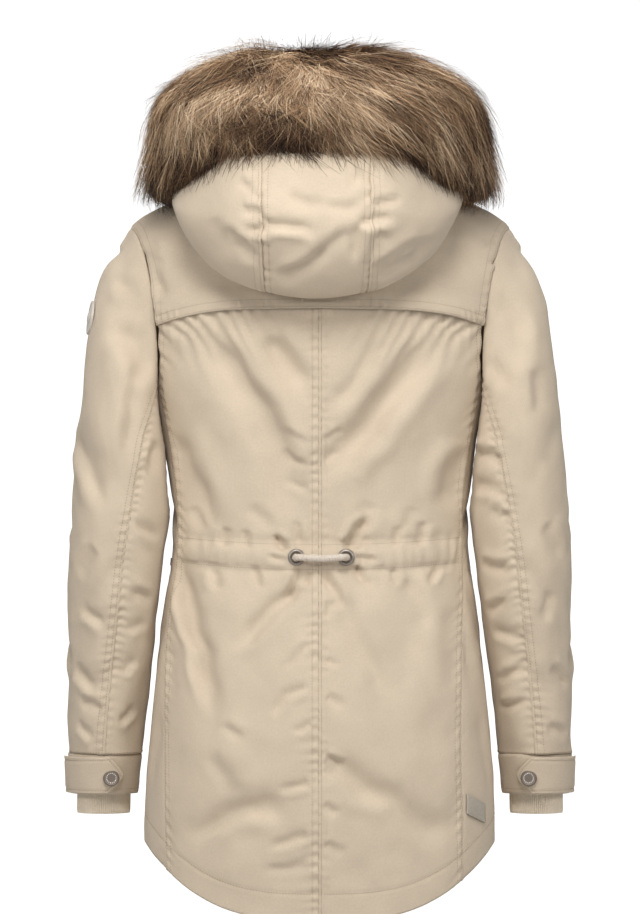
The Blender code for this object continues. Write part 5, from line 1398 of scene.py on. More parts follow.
# ---------------------------------------------------------------- hood
def hood_piece(name, first, last, columns, creases, seed, rows_of_stitches):
    us = spread(columns, 0.05, 8)
    vs = np.linspace(0, 1, 76)
    angles = mix(first + HOOD_SLIP, last - HOOD_SLIP, us)
    place = np.stack([hood_column(float(angle), vs) for angle in angles], axis=1)
    panel = Panel(place, points(place[..., 0], place[..., 1] - 0.02, 0.02 - place[..., 2] * 0.3))
    x, z = place[..., 0], place[..., 2]
    height = 1.5 * crease_relief(x, z, creases) + soft_waves(x, z, seed, 0.0012, 0.05)
    for number, edge in enumerate(rows_of_stitches):
        height = height + panel.seam(edge, row=TWIN_ROW, pitch=0.0125, reach=0.013, depth=0.0026,
                                     seed=seed + 3 + number)
    height = height * smooth(0, 0.08, 1 - vs)[:, None] * smooth(0, 0.04, vs)[:, None]
    panel.raise_by(height)
    cloth = dress(cloth_object(name + "_cloth", panel, twill(), shell=0.0014, tucks=("start", "end", "bottom")), "twill", name)
    lines = []
    for edge in rows_of_stitches:
        lines += [panel.line(edge, 0.0016), panel.line(edge, TWIN_ROW)]
    stitches("stitching_" + name, lines, thread(), "twill")


HOOD_CREASES = [
    ([(0.0853, 0.0011), (0.0778, -0.0032), (0.0691, -0.0065)], 0.0045, -0.0026, 0.3),
    ([(0.0691, -0.0162), (0.0572, -0.0184)], 0.0035, -0.002, 0.3),
    ([(0.0832, -0.0281), (0.0691, -0.0313), (0.054, -0.0356)], 0.005, -0.0032, 0.4),
    ([(0.0832, -0.0572), (0.0648, -0.0497), (0.041, -0.0464), (0.0205, -0.0497), (0, -0.0572)], 0.0055, -0.0042, -0.5),
    ([(0.0994, -0.0475), (0.0864, -0.0626), (0.0691, -0.067)], 0.0055, -0.0038, 0.4),
    ([(0.0367, -0.013), (0.0119, -0.0238), (-0.0119, -0.0238)], 0.006, -0.0024, 0.3),
    ([(0.0475, -0.1015), (0.0162, -0.0896), (-0.0119, -0.0691)], 0.007, -0.0032, 0.5),
    ([(-0.027, -0.0032), (-0.0432, 0.0054), (-0.0659, 0)], 0.005, -0.0026, -0.3),
    ([(-0.0529, -0.0227), (-0.0691, -0.0205), (-0.0864, -0.0162)], 0.0045, -0.0034, 0.4),
    ([(-0.0022, -0.0259), (-0.0292, -0.0281), (-0.0497, -0.0238)], 0.006, -0.0024, 0.3),
    ([(-0.0378, -0.0454), (-0.054, -0.0421), (-0.081, -0.0378)], 0.0055, -0.004, -0.4),
    ([(-0.0421, -0.0432), (-0.0389, -0.0648), (-0.0335, -0.0842)], 0.006, -0.0032, 0.4),
    ([(0.0119, -0.0799), (-0.0173, -0.0648), (-0.0389, -0.0475)], 0.007, -0.0026, 0.3),
    ([(-0.0518, -0.0929), (-0.0821, -0.0745), (-0.1166, -0.0529)], 0.005, -0.003, 0.4),
    ([(-0.054, -0.1015), (-0.0983, -0.0778), (-0.1328, -0.0497)], 0.005, -0.0028, 0.3),
    ([(0.0626, -0.0778), (0.0864, -0.0734)], 0.006, -0.0016, 0.3),
    ([(0.1145, -0.0346), (0.1058, -0.0583), (0.0864, -0.0821)], 0.009, -0.002, 0.3),
    ([(-0.0583, -0.054), (-0.0756, -0.0605)], 0.004, -0.0016, 0.3),
]


def hood_tab_piece():
    us, vs = np.linspace(0, 1, 30), np.linspace(0, 1, 26)
    u, v = np.meshgrid(us, vs)
    x = mix(-0.0216, 0.0196, u) + 0.001
    z = mix(-0.1268, -0.0952, v)
    panel = Panel(points(x, body_y(x, z) + 2 * WALL + 0.0022, z), points(0, 1, 0))
    height = soft_waves(x, z, 161, 0.0003, 0.02)
    for edge in ("start", "end", "bottom"):
        height = height - 0.0008 * bell(panel.edge(edge) / 0.0015) - 0.0003 * bell((panel.edge(edge) - 0.004) / 0.001)
    panel.raise_by(height)
    cloth = dress(cloth_object("hood_tab_cloth", panel, twill(), shell=0.0012), "twill", "hood_tab")
    lines = [panel.line(edge, 0.004, 0.003) for edge in ("start", "end", "bottom")]
    stitches("stitching_hood_tab", lines, thread(), "twill", pitch=0.0026, length=0.0019)


# ---------------------------------------------------------------- trims
def turned(name, profile, segments, centre, face, upright, material, slot, node=None):
    """A round part from (radius, height) pairs; face is its axis."""
    face, upright = unit(np.array(face, float)), np.array(upright, float)
    side = unit(np.cross(upright, face))
    upright = np.cross(face, side)
    bm = bmesh.new()
    rings = []
    for radius, height in profile:
        if radius == 0:
            rings.append([bm.verts.new(centre + face * height)])
            continue
        turns = 2 * math.pi * np.arange(segments) / segments
        rings.append([bm.verts.new(centre + face * height + radius * (side * math.cos(t) + upright * math.sin(t)))
                      for t in turns])
    for low, high in zip(rings, rings[1:]):
        for k in range(segments):
            n = (k + 1) % segments
            if len(high) == 1:
                bm.faces.new([low[k], low[n], high[0]])
            elif len(low) == 1:
                bm.faces.new([low[0], high[n], high[k]])
            else:
                bm.faces.new([low[k], low[n], high[n], high[k]])
    bmesh.ops.recalc_face_normals(bm, faces=bm.faces[:])
    mesh = bpy.data.meshes.new(name)
    bm.to_mesh(mesh)
    bm.free()
    mesh.shade_smooth()
    mesh.set_sharp_from_angle(angle=math.radians(50))
    mesh.materials.append(material)
    obj = bpy.data.objects.new(name, mesh)
    bpy.context.scene.collection.objects.link(obj)
    return dress(obj, slot, node) if node else dress(obj, slot)


def dots(name, centre, face, upright, radius, count, size, material):
    """A generic ring of small raised beads."""
    face, upright = unit(np.array(face, float)), np.array(upright, float)
    side = unit(np.cross(upright, face))
    upright = np.cross(face, side)
    turns = 2 * math.pi * (np.arange(count) + 0.5) / count
    middle = centre + radius * (np.cos(turns)[:, None] * side + np.sin(turns)[:, None] * upright)
    ring = 2 * math.pi * np.arange(8) / 8
    rim = size * (np.cos(ring)[:, None] * side + np.sin(ring)[:, None] * upright)
    corners = np.concatenate([middle[:, None] + rim[None], (middle + face * size * 0.8)[:, None]], axis=1)
    return joined_shapes(name, corners, [(k, (k + 1) % 8, 8) for k in range(8)]), material


def add_dots(name, *parts):
    obj, material = dots(name, *parts)
    obj.data.materials.append(material)
    return dress(obj, "metal")


def eyelet_pieces():
    for where, x in (("left", EYELET_LEFT), ("right", EYELET_RIGHT)):
        centre = np.array([x, float(back_face(x, EYELET_LEVEL)) + EYELET_SEAT, EYELET_LEVEL])
        profile = [(EYELET_HOLE, -0.0008), (EYELET_HOLE, 0.0012), (EYELET_HOLE + 0.0007, 0.0019),
                   (EYELET_HOLE + 0.0017, 0.0021), (EYELET_RADIUS - 0.0010, 0.0016), (EYELET_RADIUS - 0.0003, 0.0010),
                   (EYELET_RADIUS, 0.0004), (EYELET_RADIUS, -0.0002)]
        steel = plain_material("satin nickel", rgb(150, 141, 132), 0.42, metallic=0.8, grain=0.00005, scale=1400.0)
        turned("eyelet_ring_" + where, profile, 64, centre, (0, 1, 0), (0, 0, 1), steel, "metal", "eyelet_" + where)
        pale = plain_material("pale bead", rgb(226, 218, 208), 0.4, metallic=0.3)
        add_dots("eyelet_dots_" + where, centre + np.array([0, 0.0016, 0]), (0, 1, 0), (0, 0, 1), 0.0071, 20, 0.00072,
                 pale)


def snap_pieces(side):
    where = "left" if side > 0 else "right"
    level, angle = mix(CUFF_TOP - SEAM, CUFF_BOTTOM, 0.58), 102.0
    base = cuff_point(np.array(angle), 0.58, TAB_PROUD + 0.0018)
    axis = np.array([curve(SLEEVE, level, 1), curve(SLEEVE, level, 2), level]).astype(float)
    face = unit((base - axis) * [side, 1, 0])
    centre = base * [side, 1, 1]
    profile = [(SNAP_RADIUS, -0.0006), (SNAP_RADIUS, 0.0002), (SNAP_RADIUS - 0.0004, 0.0014),
               (SNAP_RADIUS - 0.0014, 0.0022), (SNAP_RADIUS - 0.0024, 0.0019), (0.0052, 0.0016), (0.0030, 0.0016),
               (0.0, 0.0017)]
    turned("snap_cap_" + where, profile, 64, centre, face, (0, 0, 1), metal(), "metal", "cuff_snap_" + where)
    bright = plain_material("bright bead", rgb(232, 226, 218), 0.35, metallic=0.6)
    add_dots("snap_dots_" + where, centre + face * 0.0017, face, (0, 0, 1), 0.0052, 16, 0.00062, bright)


def cord_route():
    """The drawcord's middle line, up out of one eyelet and down into the other."""
    half = CORD_DIAMETER / 2
    face = max(float(back_face(x, EYELET_LEVEL + z)) for x in (EYELET_LEFT, 0.0, EYELET_RIGHT) for z in (-half, 0.0))
    start = face + EYELET_SEAT
    top = start + CORD_RISE + CORD_BEND
    route = []
    for x, side in ((EYELET_LEFT, 1), (EYELET_RIGHT, -1)):
        end = [(x, start, EYELET_LEVEL), (x, start + CORD_RISE, EYELET_LEVEL)]
        for turn in (22.5, 45, 67.5, 90):
            angle = math.radians(turn)
            end.append((x - side * CORD_BEND * (1 - math.cos(angle)), start + CORD_RISE + CORD_BEND * math.sin(angle),
                        EYELET_LEVEL))
        end.append((x - side * 0.0125, top, EYELET_LEVEL - CORD_SAG * 0.6))
        route += end if side > 0 else end[::-1]
        if side > 0:
            route += [(0.003, top, EYELET_LEVEL - CORD_SAG), (-0.006, top, EYELET_LEVEL - CORD_SAG)]
    route = np.array(route)
    lengths = np.concatenate([[0.0], np.cumsum(np.linalg.norm(np.diff(route, axis=0), axis=1))])
    rows = [(length, *point) for length, point in zip(lengths, route)]
    along = np.linspace(0, lengths[-1], 121)
    return np.stack([curve(rows, along, column) for column in (1, 2, 3)], axis=1)


def drawcord_piece():
    """A braided cord: a tube whose skin carries crossing ridges."""
    middle = cord_route()
    lengths = np.concatenate([[0.0], np.cumsum(np.linalg.norm(np.diff(middle, axis=0), axis=1))])
    along = np.linspace(0, lengths[-1], 201)
    track = np.stack([np.interp(along, lengths, middle[:, k]) for k in range(3)], axis=1)
    ahead = unit(np.gradient(track, axis=0))
    side = unit(np.cross(ahead, points(0, 0, 1)))
    up = np.cross(side, ahead)
    turns = np.linspace(0, 2 * math.pi, 25)
    grid_turn, grid_along = np.meshgrid(turns, along)
    twist = grid_along * math.pi / 0.0027
    plait = 1.5 * np.abs(np.sin(grid_turn + twist)) ** 0.8 + 0.4 * np.abs(np.sin(2 * grid_turn - twist))
    radius = CORD_DIAMETER / 2 - 0.0009 + 0.00052 * plait
    place = (track[:, None] + radius[..., None] * (np.cos(grid_turn)[..., None] * side[:, None]
                                                   + np.sin(grid_turn)[..., None] * up[:, None]))
    panel = Panel(place, place - track[:, None])
    strand = cloth_material("cotton cord", rgb(240, 230, 217), rgb(190, 171, 152), threads=1100.0, bump=0.0008)
    obj = cloth_object("drawcord_braid", panel, strand, shell=0, closed=True)
    bm = bmesh.new()
    bm.from_mesh(obj.data)
    bmesh.ops.holes_fill(bm, edges=bm.edges[:], sides=80)
    bm.to_mesh(obj.data)
    bm.free()
    obj.data.shade_smooth()
    dress(obj, "cord", "drawcord")


def label_piece():
    us, vs = np.linspace(0, 1, 24), np.linspace(0, 1, 16)
    u, v = np.meshgrid(us, vs)
    slant = math.radians(-22)
    across, up = (u - 0.5) * LABEL_LENGTH, (v - 0.5) * LABEL_HEIGHT
    z = -0.6640 + up + across * math.sin(slant)
    x = 0.1655 + across * math.cos(slant) * 0.72
    panel = Panel(points(-x, body_y(x, z), z), points(-0.7, 0.7, 0))
    panel.raise_by(0.0021 + 0.0006 * np.sin(3 * u + 1) * np.sin(2.5 * v) - 0.0005 * bell(panel.edge("start") / 0.0015))
    woven = cloth_material("woven label", rgb(190, 181, 166), rgb(160, 150, 136), threads=1400.0, bump=0.0002)
    patch = dress(cloth_object("hem_label_patch", panel, woven, shell=0.0008), "patch", "hem_label")
    lines = [panel.line(edge, 0.0022, 0.002) for edge in ("start", "end", "bottom", "top")]
    stitches("stitching_label", lines, thread(), "twill", pitch=0.0022, length=0.0016, width=0.0004)


def badge_piece():
    turn = np.array(BADGE_ANGLE, float)
    level = (float(armhole(turn)[2]) - BADGE_LEVEL) / (float(armhole(turn)[2]) - CUFF_TOP)
    seat, near = sleeve_point(turn, level), sleeve_point(turn + 4.0, level)
    low = sleeve_point(turn, level + 0.01)
    face = unit(np.cross(near - seat, seat - low))
    face = face if face[0] > 0 else -face
    centre = seat + face * BADGE_SEAT
    pale = plain_material("pale badge", rgb(196, 188, 176), 0.5, sheen=0.1, grain=0.00008, scale=1200.0)
    profile = [(BADGE_RADIUS, -0.0010), (BADGE_RADIUS, 0.0010), (BADGE_RADIUS - 0.0006, 0.0018),
               (BADGE_RADIUS - 0.0020, 0.0019), (BADGE_RADIUS - 0.0028, 0.0013), (0.0075, 0.0013), (0.0068, 0.0018),
               (0.0060, 0.0030), (0.0046, 0.0036), (0.0, 0.0038)]
    turned("sleeve_badge_face", profile, 72, centre, face, (0, 0, 1), pale, "patch", "sleeve_badge")


# ---------------------------------------------------------------- fur
# Palette of the hair, dark to light; the lightness that picks from it holds the hair's own tone and the roll's painted
# light and shade.
FUR_TONES = [rgb(30, 23, 20), rgb(72, 52, 39), rgb(128, 98, 72), rgb(190, 156, 120), rgb(228, 202, 170)]
PARTING = 103.0
FUR_SAG_START = 0.108
FUR_SAG = 0.24
FUR_REST = 0.008          # the pile rests a little lower than its roll


def hang(place):
    """The pile's outer ends sag over the shoulders, so the roll is narrower at the top."""
    out = np.maximum(np.abs(place[..., 0]) - FUR_SAG_START, 0.0)
    behind = smooth(-0.09, -0.02, place[..., 1])
    sunk = place.copy()
    sunk[..., 2] = place[..., 2] - behind * (FUR_REST + FUR_SAG * out + 1.2 * out ** 2)
    side = np.sign(place[..., 0])
    full = 0.017 * bell((sunk[..., 2] - 0.105) / 0.045) - (0.004 + 0.006 * (side > 0)) * bell((sunk[..., 2] - 0.02) / 0.04)
    sunk[..., 0] = place[..., 0] + behind * side * full * smooth(0.09, 0.14, np.abs(place[..., 0]))
    return sunk


def fur_place(angle, turn, scale):
    """A point of the pile, carried straight on past the ends of the roll."""
    over = np.maximum(np.abs(angle) - HOOD_END, 0.0)
    held = np.clip(angle, -HOOD_END, HOOD_END)
    place = hang(fur_point(held, turn, scale * (1 - 0.85 * smooth(2, 17, over))))
    near = np.sign(angle) * (HOOD_END - 1.0)
    ahead = unit(fur_frame(np.sign(angle) * HOOD_END)[0] - fur_frame(near)[0])
    return place + ahead * (0.0026 * np.tanh(over / 9) * 9)[..., None]


def fur_tone_and_painted_light(angle, turn, seed):
    """Share of light hair in the pile, from -1 to 1, by place on the roll: random patches of the hair's own tone, with
    painted light on the top and outer face, painted shade on the underside, and darker bands below the top and at the
    lower sides.
    """
    at = turn + 16 * cloud(angle, turn, 17, seed)
    # Painted light: lighter on the outer face (26) and on the top (100) where the lamps fall, with a darker band
    # between them (66).
    ridge = -0.60 * bell((at - 66) / 12) + 1.05 * bell((at - 100) / 20) + 0.55 * bell((at - 26) / 26)
    # Painted shade on the underside of the roll, deepest behind the head.
    lower = -0.25 * bell((at + 46) / 16) * (0.50 + 0.50 * bell(angle / 40))
    patch = 1.05 * cloud(angle, turn, 13, seed + 1) + 0.80 * cloud(angle, turn, 5.0, seed + 2)
    # Darker on the lower outer side, about 84 degrees round.
    corner = -0.75 * bell((np.abs(angle) - 84) / 16) * bell((at + 20) / 40)
    return ridge + lower + patch + corner


def hair_roots(first, last, count, rng):
    """Angles and turns of the roots: thickest on the outside of the roll and behind the head."""
    stations = np.linspace(first, last, 240)
    steps = np.linalg.norm(np.diff(fur_frame(stations)[0], axis=0), axis=1)
    ends = smooth(HOOD_END - 12, HOOD_END - 2, np.abs(stations[1:]))
    steps = steps * (np.where(np.abs(stations[1:]) < 98, 1.0, 0.55) + 1.1 * ends)
    arc = np.concatenate([[0.0], np.cumsum(steps)])
    angle = np.interp(rng.uniform(0, arc[-1], count), arc, stations)
    outside = rng.random(count) < 0.76
    return angle, np.where(outside, rng.uniform(-68, 122, count), rng.uniform(122, 292, count))


def hair_clumps(angle, turn, seed):
    """Number of the lock that every hair belongs to, and the middle of that lock."""
    cells = np.stack([np.floor(angle / 3.4 + 0.9 * cloud(angle, turn, 8, seed + 3)),
                      np.floor(turn / 9.5 + 0.9 * cloud(turn, angle, 17, seed + 4))], axis=1)
    _, clump = np.unique(cells, axis=0, return_inverse=True)
    clump = clump.ravel()
    number = np.bincount(clump)
    return clump, (np.bincount(clump, angle) / number)[clump], (np.bincount(clump, turn) / number)[clump]


def fur_piece(name, first, last, count, seed, guard):
    """A joined mesh of tapering hairs, clumped and combed away from the parting."""
    rng = np.random.default_rng(seed)
    angle, turn = hair_roots(first, last, count, rng)
    clump, middle_angle, middle_turn = hair_clumps(angle, turn, 901)
    lock = np.random.default_rng(seed + 50)
    sway, tone, rise, lean, bend = (lock.normal(0, 1, clump.max() + 1)[clump] for _ in range(5))
    side = np.where(turn < PARTING + 8 * cloud(angle, 0 * angle, 14, 906), -1.0, 1.0)
    stand = bell((turn - PARTING) / 20)
    low = smooth(-8, -62, turn) * (side < 0)
    pull = rng.uniform(0.45, 0.97, count)
    flow = 14 * cloud(angle, turn, 15, 907)
    sweep = 21 * np.tanh((angle - 14) / 36) + flow + 8.0 * sway + rng.normal(0, 3.6, count)
    long = 1.25 if guard else 1.0
    fall = side * long * np.clip(35 + 9 * lean + rng.normal(0, 8, count), 10, 66) * (1 - 0.5 * stand)
    root = rng.uniform(0.72, 0.88, count)
    tip = 0.955 + 0.045 * rise + rng.normal(0, 0.022, count) + stand * rng.uniform(-0.08, 0.12, count) + 0.12 * low
    if guard:
        wisp = rng.random(count) < 0.32
        tip = tip + rng.uniform(0.0, 0.08, count) + np.where(wisp, rng.uniform(0.06, 0.30, count), 0.0)
        fall = np.where(wisp, 0.6 * fall, fall)
    tip = np.minimum(tip, 1.36)
    end_angle = mix(angle, middle_angle, pull) + sweep
    end_turn = mix(turn, middle_turn, pull) + fall
    end_turn = np.where(side < 0, np.maximum(end_turn, -82 + rng.normal(0, 7, count)), end_turn)
    curl = 2.6 * bend + rng.normal(0, 1.0, count)
    at = (np.array([0.0, 0.36, 0.70, 1.0]) if guard else np.array([0.0, 0.55, 1.0]))[None, :]
    path_angle = mix(angle[:, None], end_angle[:, None], at ** 1.15) + curl[:, None] * np.sin(math.pi * at)
    path_turn = mix(turn[:, None], end_turn[:, None], at ** 1.25)
    place = fur_place(path_angle, path_turn, mix(root[:, None], tip[:, None], at ** 0.75))
    place[..., 2] -= 0.021 * (low * bell(angle / 80))[:, None] * at ** 1.6 * rng.uniform(0.3, 1.2, count)[:, None]
    out = unit(fur_place(path_angle, path_turn, 1.05) - fur_place(path_angle, path_turn, 0.95))
    ahead = unit(np.gradient(place, axis=1))
    across = unit(np.cross(ahead, out))
    twist = rng.normal(0, 0.45, count)[:, None, None]
    across = unit(across * np.cos(twist) + out * np.sin(twist))
    taper = np.array([0.8, 1.0, 0.66]) if guard else np.array([0.9, 1.0])
    width = (rng.uniform(0.00030, 0.00052, count) if guard else rng.uniform(0.0005, 0.0010, count))[:, None] * taper
    stages = len(taper)
    pair = [place[:, :stages] + sign * across[:, :stages] * width[..., None] / 2 for sign in (-1, 1)]
    corners = np.concatenate([np.stack(pair, axis=2).reshape(count, 2 * stages, 3), place[:, -1:]], axis=1)
    faces = [(0, 1, 3, 2), (2, 3, 5, 4), (4, 5, 6)] if guard else [(0, 1, 3, 2), (2, 3, 4)]
    obj = joined_shapes(name, corners, faces)
    paint_hair(obj.data, rng, path_angle, path_turn, at[0], tone, guard)
    facing = unit(out + 0.35 * np.cross(across, ahead))
    facing = np.concatenate([np.repeat(facing[:, :stages], 2, axis=1), facing[:, -1:]], axis=1)
    obj.data.normals_split_custom_set_from_vertices(facing.reshape(-1, 3).tolist())
    obj.data.materials.append(fur_material())
    return dress(obj, "fur", "fur_trim")


def paint_hair(mesh, rng, path_angle, path_turn, along, tone, guard):
    """Colour along every hair: dark at the root, light in the middle, guard hairs with dark tips."""
    count = len(path_turn)
    # The hair's lightness carries the roll's painted light and painted shade as well as its own tone.
    light = fur_tone_and_painted_light(path_angle[:, 1], path_turn[:, 1], 700) * 0.85 + 0.44 * tone + rng.normal(0, 0.22, count)
    light = light - np.where(rng.random(count) < 0.12, 1.4, 0.0)
    tips = np.where(rng.random(count) < (0.75 if guard else 0.12), -1.5, 0.25)
    shift = -0.85 * (1 - smooth(0, 0.5, along))[None, :] + smooth(0.55, 1.0, along)[None, :] * tips[:, None]
    share = np.clip(0.60 + 0.36 * (light[:, None] + shift), 0.0, 1.0)
    tones = np.array(FUR_TONES)
    stops = np.linspace(0, 1, len(tones))
    colour = np.stack([np.interp(share, stops, tones[:, k]) for k in range(3)], axis=-1)
    colour = colour * rng.uniform(0.84, 1.16, count)[:, None, None]
    corners = np.concatenate([np.repeat(colour[:, :-1], 2, axis=1), colour[:, -1:]], axis=1).reshape(-1, 3)
    rgba = np.concatenate([np.clip(corners, 0, 1), np.ones((len(corners), 1))], axis=1)
    attribute = mesh.color_attributes.new("hair", "FLOAT_COLOR", "POINT")
    attribute.data.foreach_set("color", rgba.astype(np.float32).ravel())


def fur_core():
    """The dense underfur: a closed roll just inside the hair."""
    angles = np.concatenate([[-HOOD_END] * 3, np.linspace(-HOOD_END, HOOD_END, 81), [HOOD_END] * 3])
    scales = np.concatenate([[0.001, 0.35, 0.66], np.full(81, 0.80), [0.66, 0.35, 0.001]])
    turns = np.linspace(0, 360, 37)
    t, a = np.meshgrid(turns, angles)
    _, s = np.meshgrid(turns, scales)
    place = hang(fur_point(a, t, s * (1 + 0.02 * cloud(a, t, 9, 811))))
    panel = Panel(place, place - hang(fur_point(a, t, 0.0 * s)))
    under = plain_material("underfur", rgb(66, 48, 35), 0.95, sheen=0.1, grain=0.001, scale=600.0)
    obj = cloth_object("fur_underfur", panel, under, shell=0, closed=True)
    return dress(obj, "fur", "fur_trim")


# ---------------------------------------------------------------- studio
CAMERA_DISTANCE = 7.0
PICTURE_HEIGHT = 0.987
PICTURE_MIDDLE = -0.2884
FLOOR_LEVEL = -1.40       # the wearer stands on it


def area_light(name, place, aim, size, power, colour=(1, 1, 1)):
    light = bpy.data.lights.new(name, "AREA")
    light.shape = "SQUARE"
    light.size = size
    light.energy = power
    light.color = colour
    obj = bpy.data.objects.new(name, light)
    obj.location = place
    obj.rotation_euler = (Vector(aim) - Vector(place)).to_track_quat("-Z", "Y").to_euler()
    bpy.context.scene.collection.objects.link(obj)


def flat_stage(name, place, half_size, turn, glow):
    """A plain white sheet of the studio, which may glow."""
    made, nodes, links, shader = new_material(name)
    shader.inputs["Base Color"].default_value = (0.82, 0.82, 0.82, 1)
    shader.inputs["Roughness"].default_value = 0.9
    shader.inputs["Emission Color"].default_value = (1, 1, 1, 1)
    shader.inputs["Emission Strength"].default_value = glow
    mesh = bpy.data.meshes.new(name)
    corners = [(x * half_size[0], y * half_size[1], 0) for x, y in ((-1, -1), (1, -1), (1, 1), (-1, 1))]
    mesh.from_pydata(corners, [], [(0, 1, 2, 3)])
    mesh.materials.append(made)
    obj = bpy.data.objects.new(name, mesh)
    obj.location, obj.rotation_euler = place, turn
    bpy.context.scene.collection.objects.link(obj)


def studio():
    light = bpy.context.scene.parka_studio
    data = bpy.data.cameras.new("camera")
    data.sensor_width = 36.0
    data.lens = 36.0 * CAMERA_DISTANCE / PICTURE_HEIGHT
    data.clip_end = 40.0
    camera = bpy.data.objects.new("camera", data)
    camera.location = (0.0, CAMERA_DISTANCE, PICTURE_MIDDLE)
    camera.rotation_euler = (math.pi / 2, 0.0, math.pi)
    bpy.context.scene.collection.objects.link(camera)
    bpy.context.scene.camera = camera
    world = bpy.data.worlds.new("white studio")
    world.use_nodes = True
    shade = world.node_tree.nodes["Background"]
    shade.inputs["Color"].default_value = (1, 1, 1, 1)
    shade.inputs["Strength"].default_value = light.fill
    bpy.context.scene.world = world
    aim = (0.0, 0.0, -0.25)
    area_light("key", (0.10, 1.55, 1.05), aim, 0.7, light.key)
    area_light("side_left", (1.7, 1.7, 0.35), aim, 0.6, light.key * 0.60)
    area_light("side_right", (-1.7, 1.7, 0.35), aim, 0.6, light.key * 0.60)
    area_light("top", (0.0, 0.7, 2.4), aim, 0.8, light.key * 0.50)
    flat_stage("white_backdrop", (0.0, -16.0, 1.0), (14.0, 9.0), (math.pi / 2, 0, 0), 1.0)
    flat_stage("pale_floor", (0.0, 0.0, FLOOR_LEVEL), (4.5, 4.5), (0, 0, 0), 0.0)
    bpy.context.scene.view_settings.view_transform = "Standard"


# ---------------------------------------------------------------- add-on
class ParkaColours(bpy.types.PropertyGroup):
    cloth: bpy.props.FloatVectorProperty(name="Cloth", description="Colour of the twill", subtype="COLOR",
                                         size=3, min=0, max=1, default=tuple(rgb(209, 192, 169)))
    thread: bpy.props.FloatVectorProperty(name="Thread", description="Colour of the stitching", subtype="COLOR",
                                          size=3, min=0, max=1, default=tuple(rgb(158, 139, 112)))


class ParkaSizes(bpy.types.PropertyGroup):
    hairs: bpy.props.IntProperty(name="Hairs", description="Hairs in the back part of the fur", default=21000,
                                 min=2000, max=39000)


class ParkaStudio(bpy.types.PropertyGroup):
    key: bpy.props.FloatProperty(name="Key light", description="Power of the main light", default=29.0, unit="POWER",
                                 min=0)
    fill: bpy.props.FloatProperty(name="Fill", description="Strength of the white surroundings", default=0.20, min=0)


class PARKA_OT_studio(bpy.types.Operator):
    """Set the camera, the white surroundings and the soft lights"""
    bl_idname = "parka.studio"
    bl_label = "Set up the studio"

    def execute(self, context):
        studio()
        return {"FINISHED"}


class PARKA_OT_cord(bpy.types.Operator):
    """Braid the drawcord between its eyelets"""
    bl_idname = "parka.cord"
    bl_label = "Braid the drawcord"

    def execute(self, context):
        drawcord_piece()
        return {"FINISHED"}


class PARKA_OT_body(bpy.types.Operator):
    """Dress the backs, yoke, fronts, side panels and placket"""
    bl_idname = "parka.body"
    bl_label = "Dress the body"

    def execute(self, context):
        yoke_piece()
        for side in (1, -1):
            back_piece(side)
            front_piece(side)
            side_piece(side)
        placket_piece()
        return {"FINISHED"}


class PARKA_OT_sleeves(bpy.types.Operator):
    """Dress the sleeves, cuffs, ribs and tabs"""
    bl_idname = "parka.sleeves"
    bl_label = "Dress the sleeves"

    def execute(self, context):
        for side in (1, -1):
            sleeve_piece(side, False)
            sleeve_piece(side, True)
            cuff_piece(side)
            rib_piece(side)
            tab_piece(side)
        return {"FINISHED"}


class PARKA_OT_hood(bpy.types.Operator):
    """Dress the three hood panels and the tab under the hood"""
    bl_idname = "parka.hood"
    bl_label = "Dress the hood"

    def execute(self, context):
        hood_piece("hood_centre", -HOOD_SEAM_ANGLE, HOOD_SEAM_ANGLE, 46, HOOD_CREASES, 151, ("start", "end"))
        hood_piece("hood_side_left", HOOD_SEAM_ANGLE, HOOD_END, 62, HOOD_CREASES, 171, ("start",))
        hood_piece("hood_side_right", -HOOD_END, -HOOD_SEAM_ANGLE, 62, HOOD_CREASES, 181, ("end",))
        hood_tab_piece()
        return {"FINISHED"}


class PARKA_OT_trims(bpy.types.Operator):
    """Make the eyelets, snaps, label and badge"""
    bl_idname = "parka.trims"
    bl_label = "Make the trims"

    def execute(self, context):
        eyelet_pieces()
        for side in (1, -1):
            snap_pieces(side)
        label_piece()
        badge_piece()
        return {"FINISHED"}


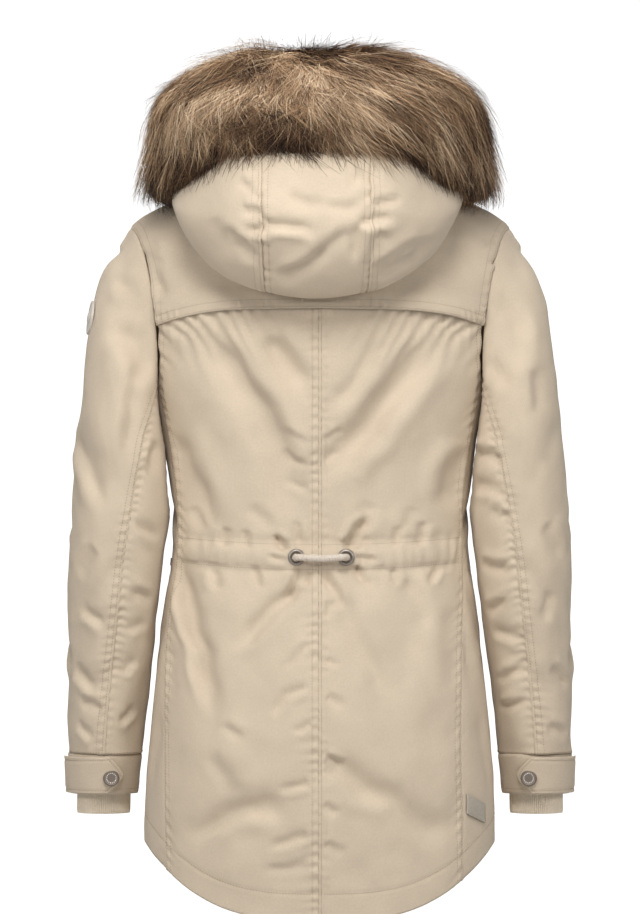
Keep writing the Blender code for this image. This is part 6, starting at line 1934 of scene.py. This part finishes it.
class PARKA_OT_fur(bpy.types.Operator):
    """Grow the fur over its underfur"""
    bl_idname = "parka.fur"
    bl_label = "Grow the fur"

    def execute(self, context):
        hairs = context.scene.parka_sizes.hairs
        fur_core()
        for name, first, last, share in (("back", -34.0, 34.0, 1.0), ("left", 34.0, HOOD_END, 0.85),
                                         ("right", -HOOD_END, -34.0, 0.85)):
            fur_piece("fur_under_" + name, first, last, int(share * hairs), int(911 + first), False)
            fur_piece("fur_guard_" + name, first, last, int(0.62 * share * hairs), int(931 + first), True)
        return {"FINISHED"}


class PARKA_PT_panel(bpy.types.Panel):
    bl_label = "Fur trimmed parka"
    bl_idname = "PARKA_PT_panel"
    bl_space_type = "VIEW_3D"
    bl_region_type = "UI"
    bl_category = "Parka"

    def draw(self, context):
        scene = context.scene
        for group in (scene.parka_colours, scene.parka_sizes, scene.parka_studio):
            for key in group.__annotations__:
                self.layout.prop(group, key)
        for operator in OPERATORS:
            self.layout.operator(operator.bl_idname)


OPERATORS = (PARKA_OT_studio, PARKA_OT_cord, PARKA_OT_body, PARKA_OT_sleeves, PARKA_OT_hood, PARKA_OT_trims,
             PARKA_OT_fur)
CLASSES = (ParkaColours, ParkaSizes, ParkaStudio, *OPERATORS, PARKA_PT_panel)


def register():
    for kind in CLASSES:
        bpy.utils.register_class(kind)
    bpy.types.Scene.parka_colours = bpy.props.PointerProperty(type=ParkaColours)
    bpy.types.Scene.parka_sizes = bpy.props.PointerProperty(type=ParkaSizes)
    bpy.types.Scene.parka_studio = bpy.props.PointerProperty(type=ParkaStudio)


def unregister():
    for name in ("parka_colours", "parka_sizes", "parka_studio"):
        delattr(bpy.types.Scene, name)
    for kind in reversed(CLASSES):
        bpy.utils.unregister_class(kind)


def plain(box):
    return [[round(float(value), 5) for value in corner] for corner in box]


def main():
    register()
    bpy.ops.parka.studio()
    bpy.ops.parka.cord()
    bpy.ops.parka.body()
    bpy.ops.parka.sleeves()
    bpy.ops.parka.hood()
    bpy.ops.parka.trims()
    bpy.ops.parka.fur()


if __name__ == "__main__":
    main()
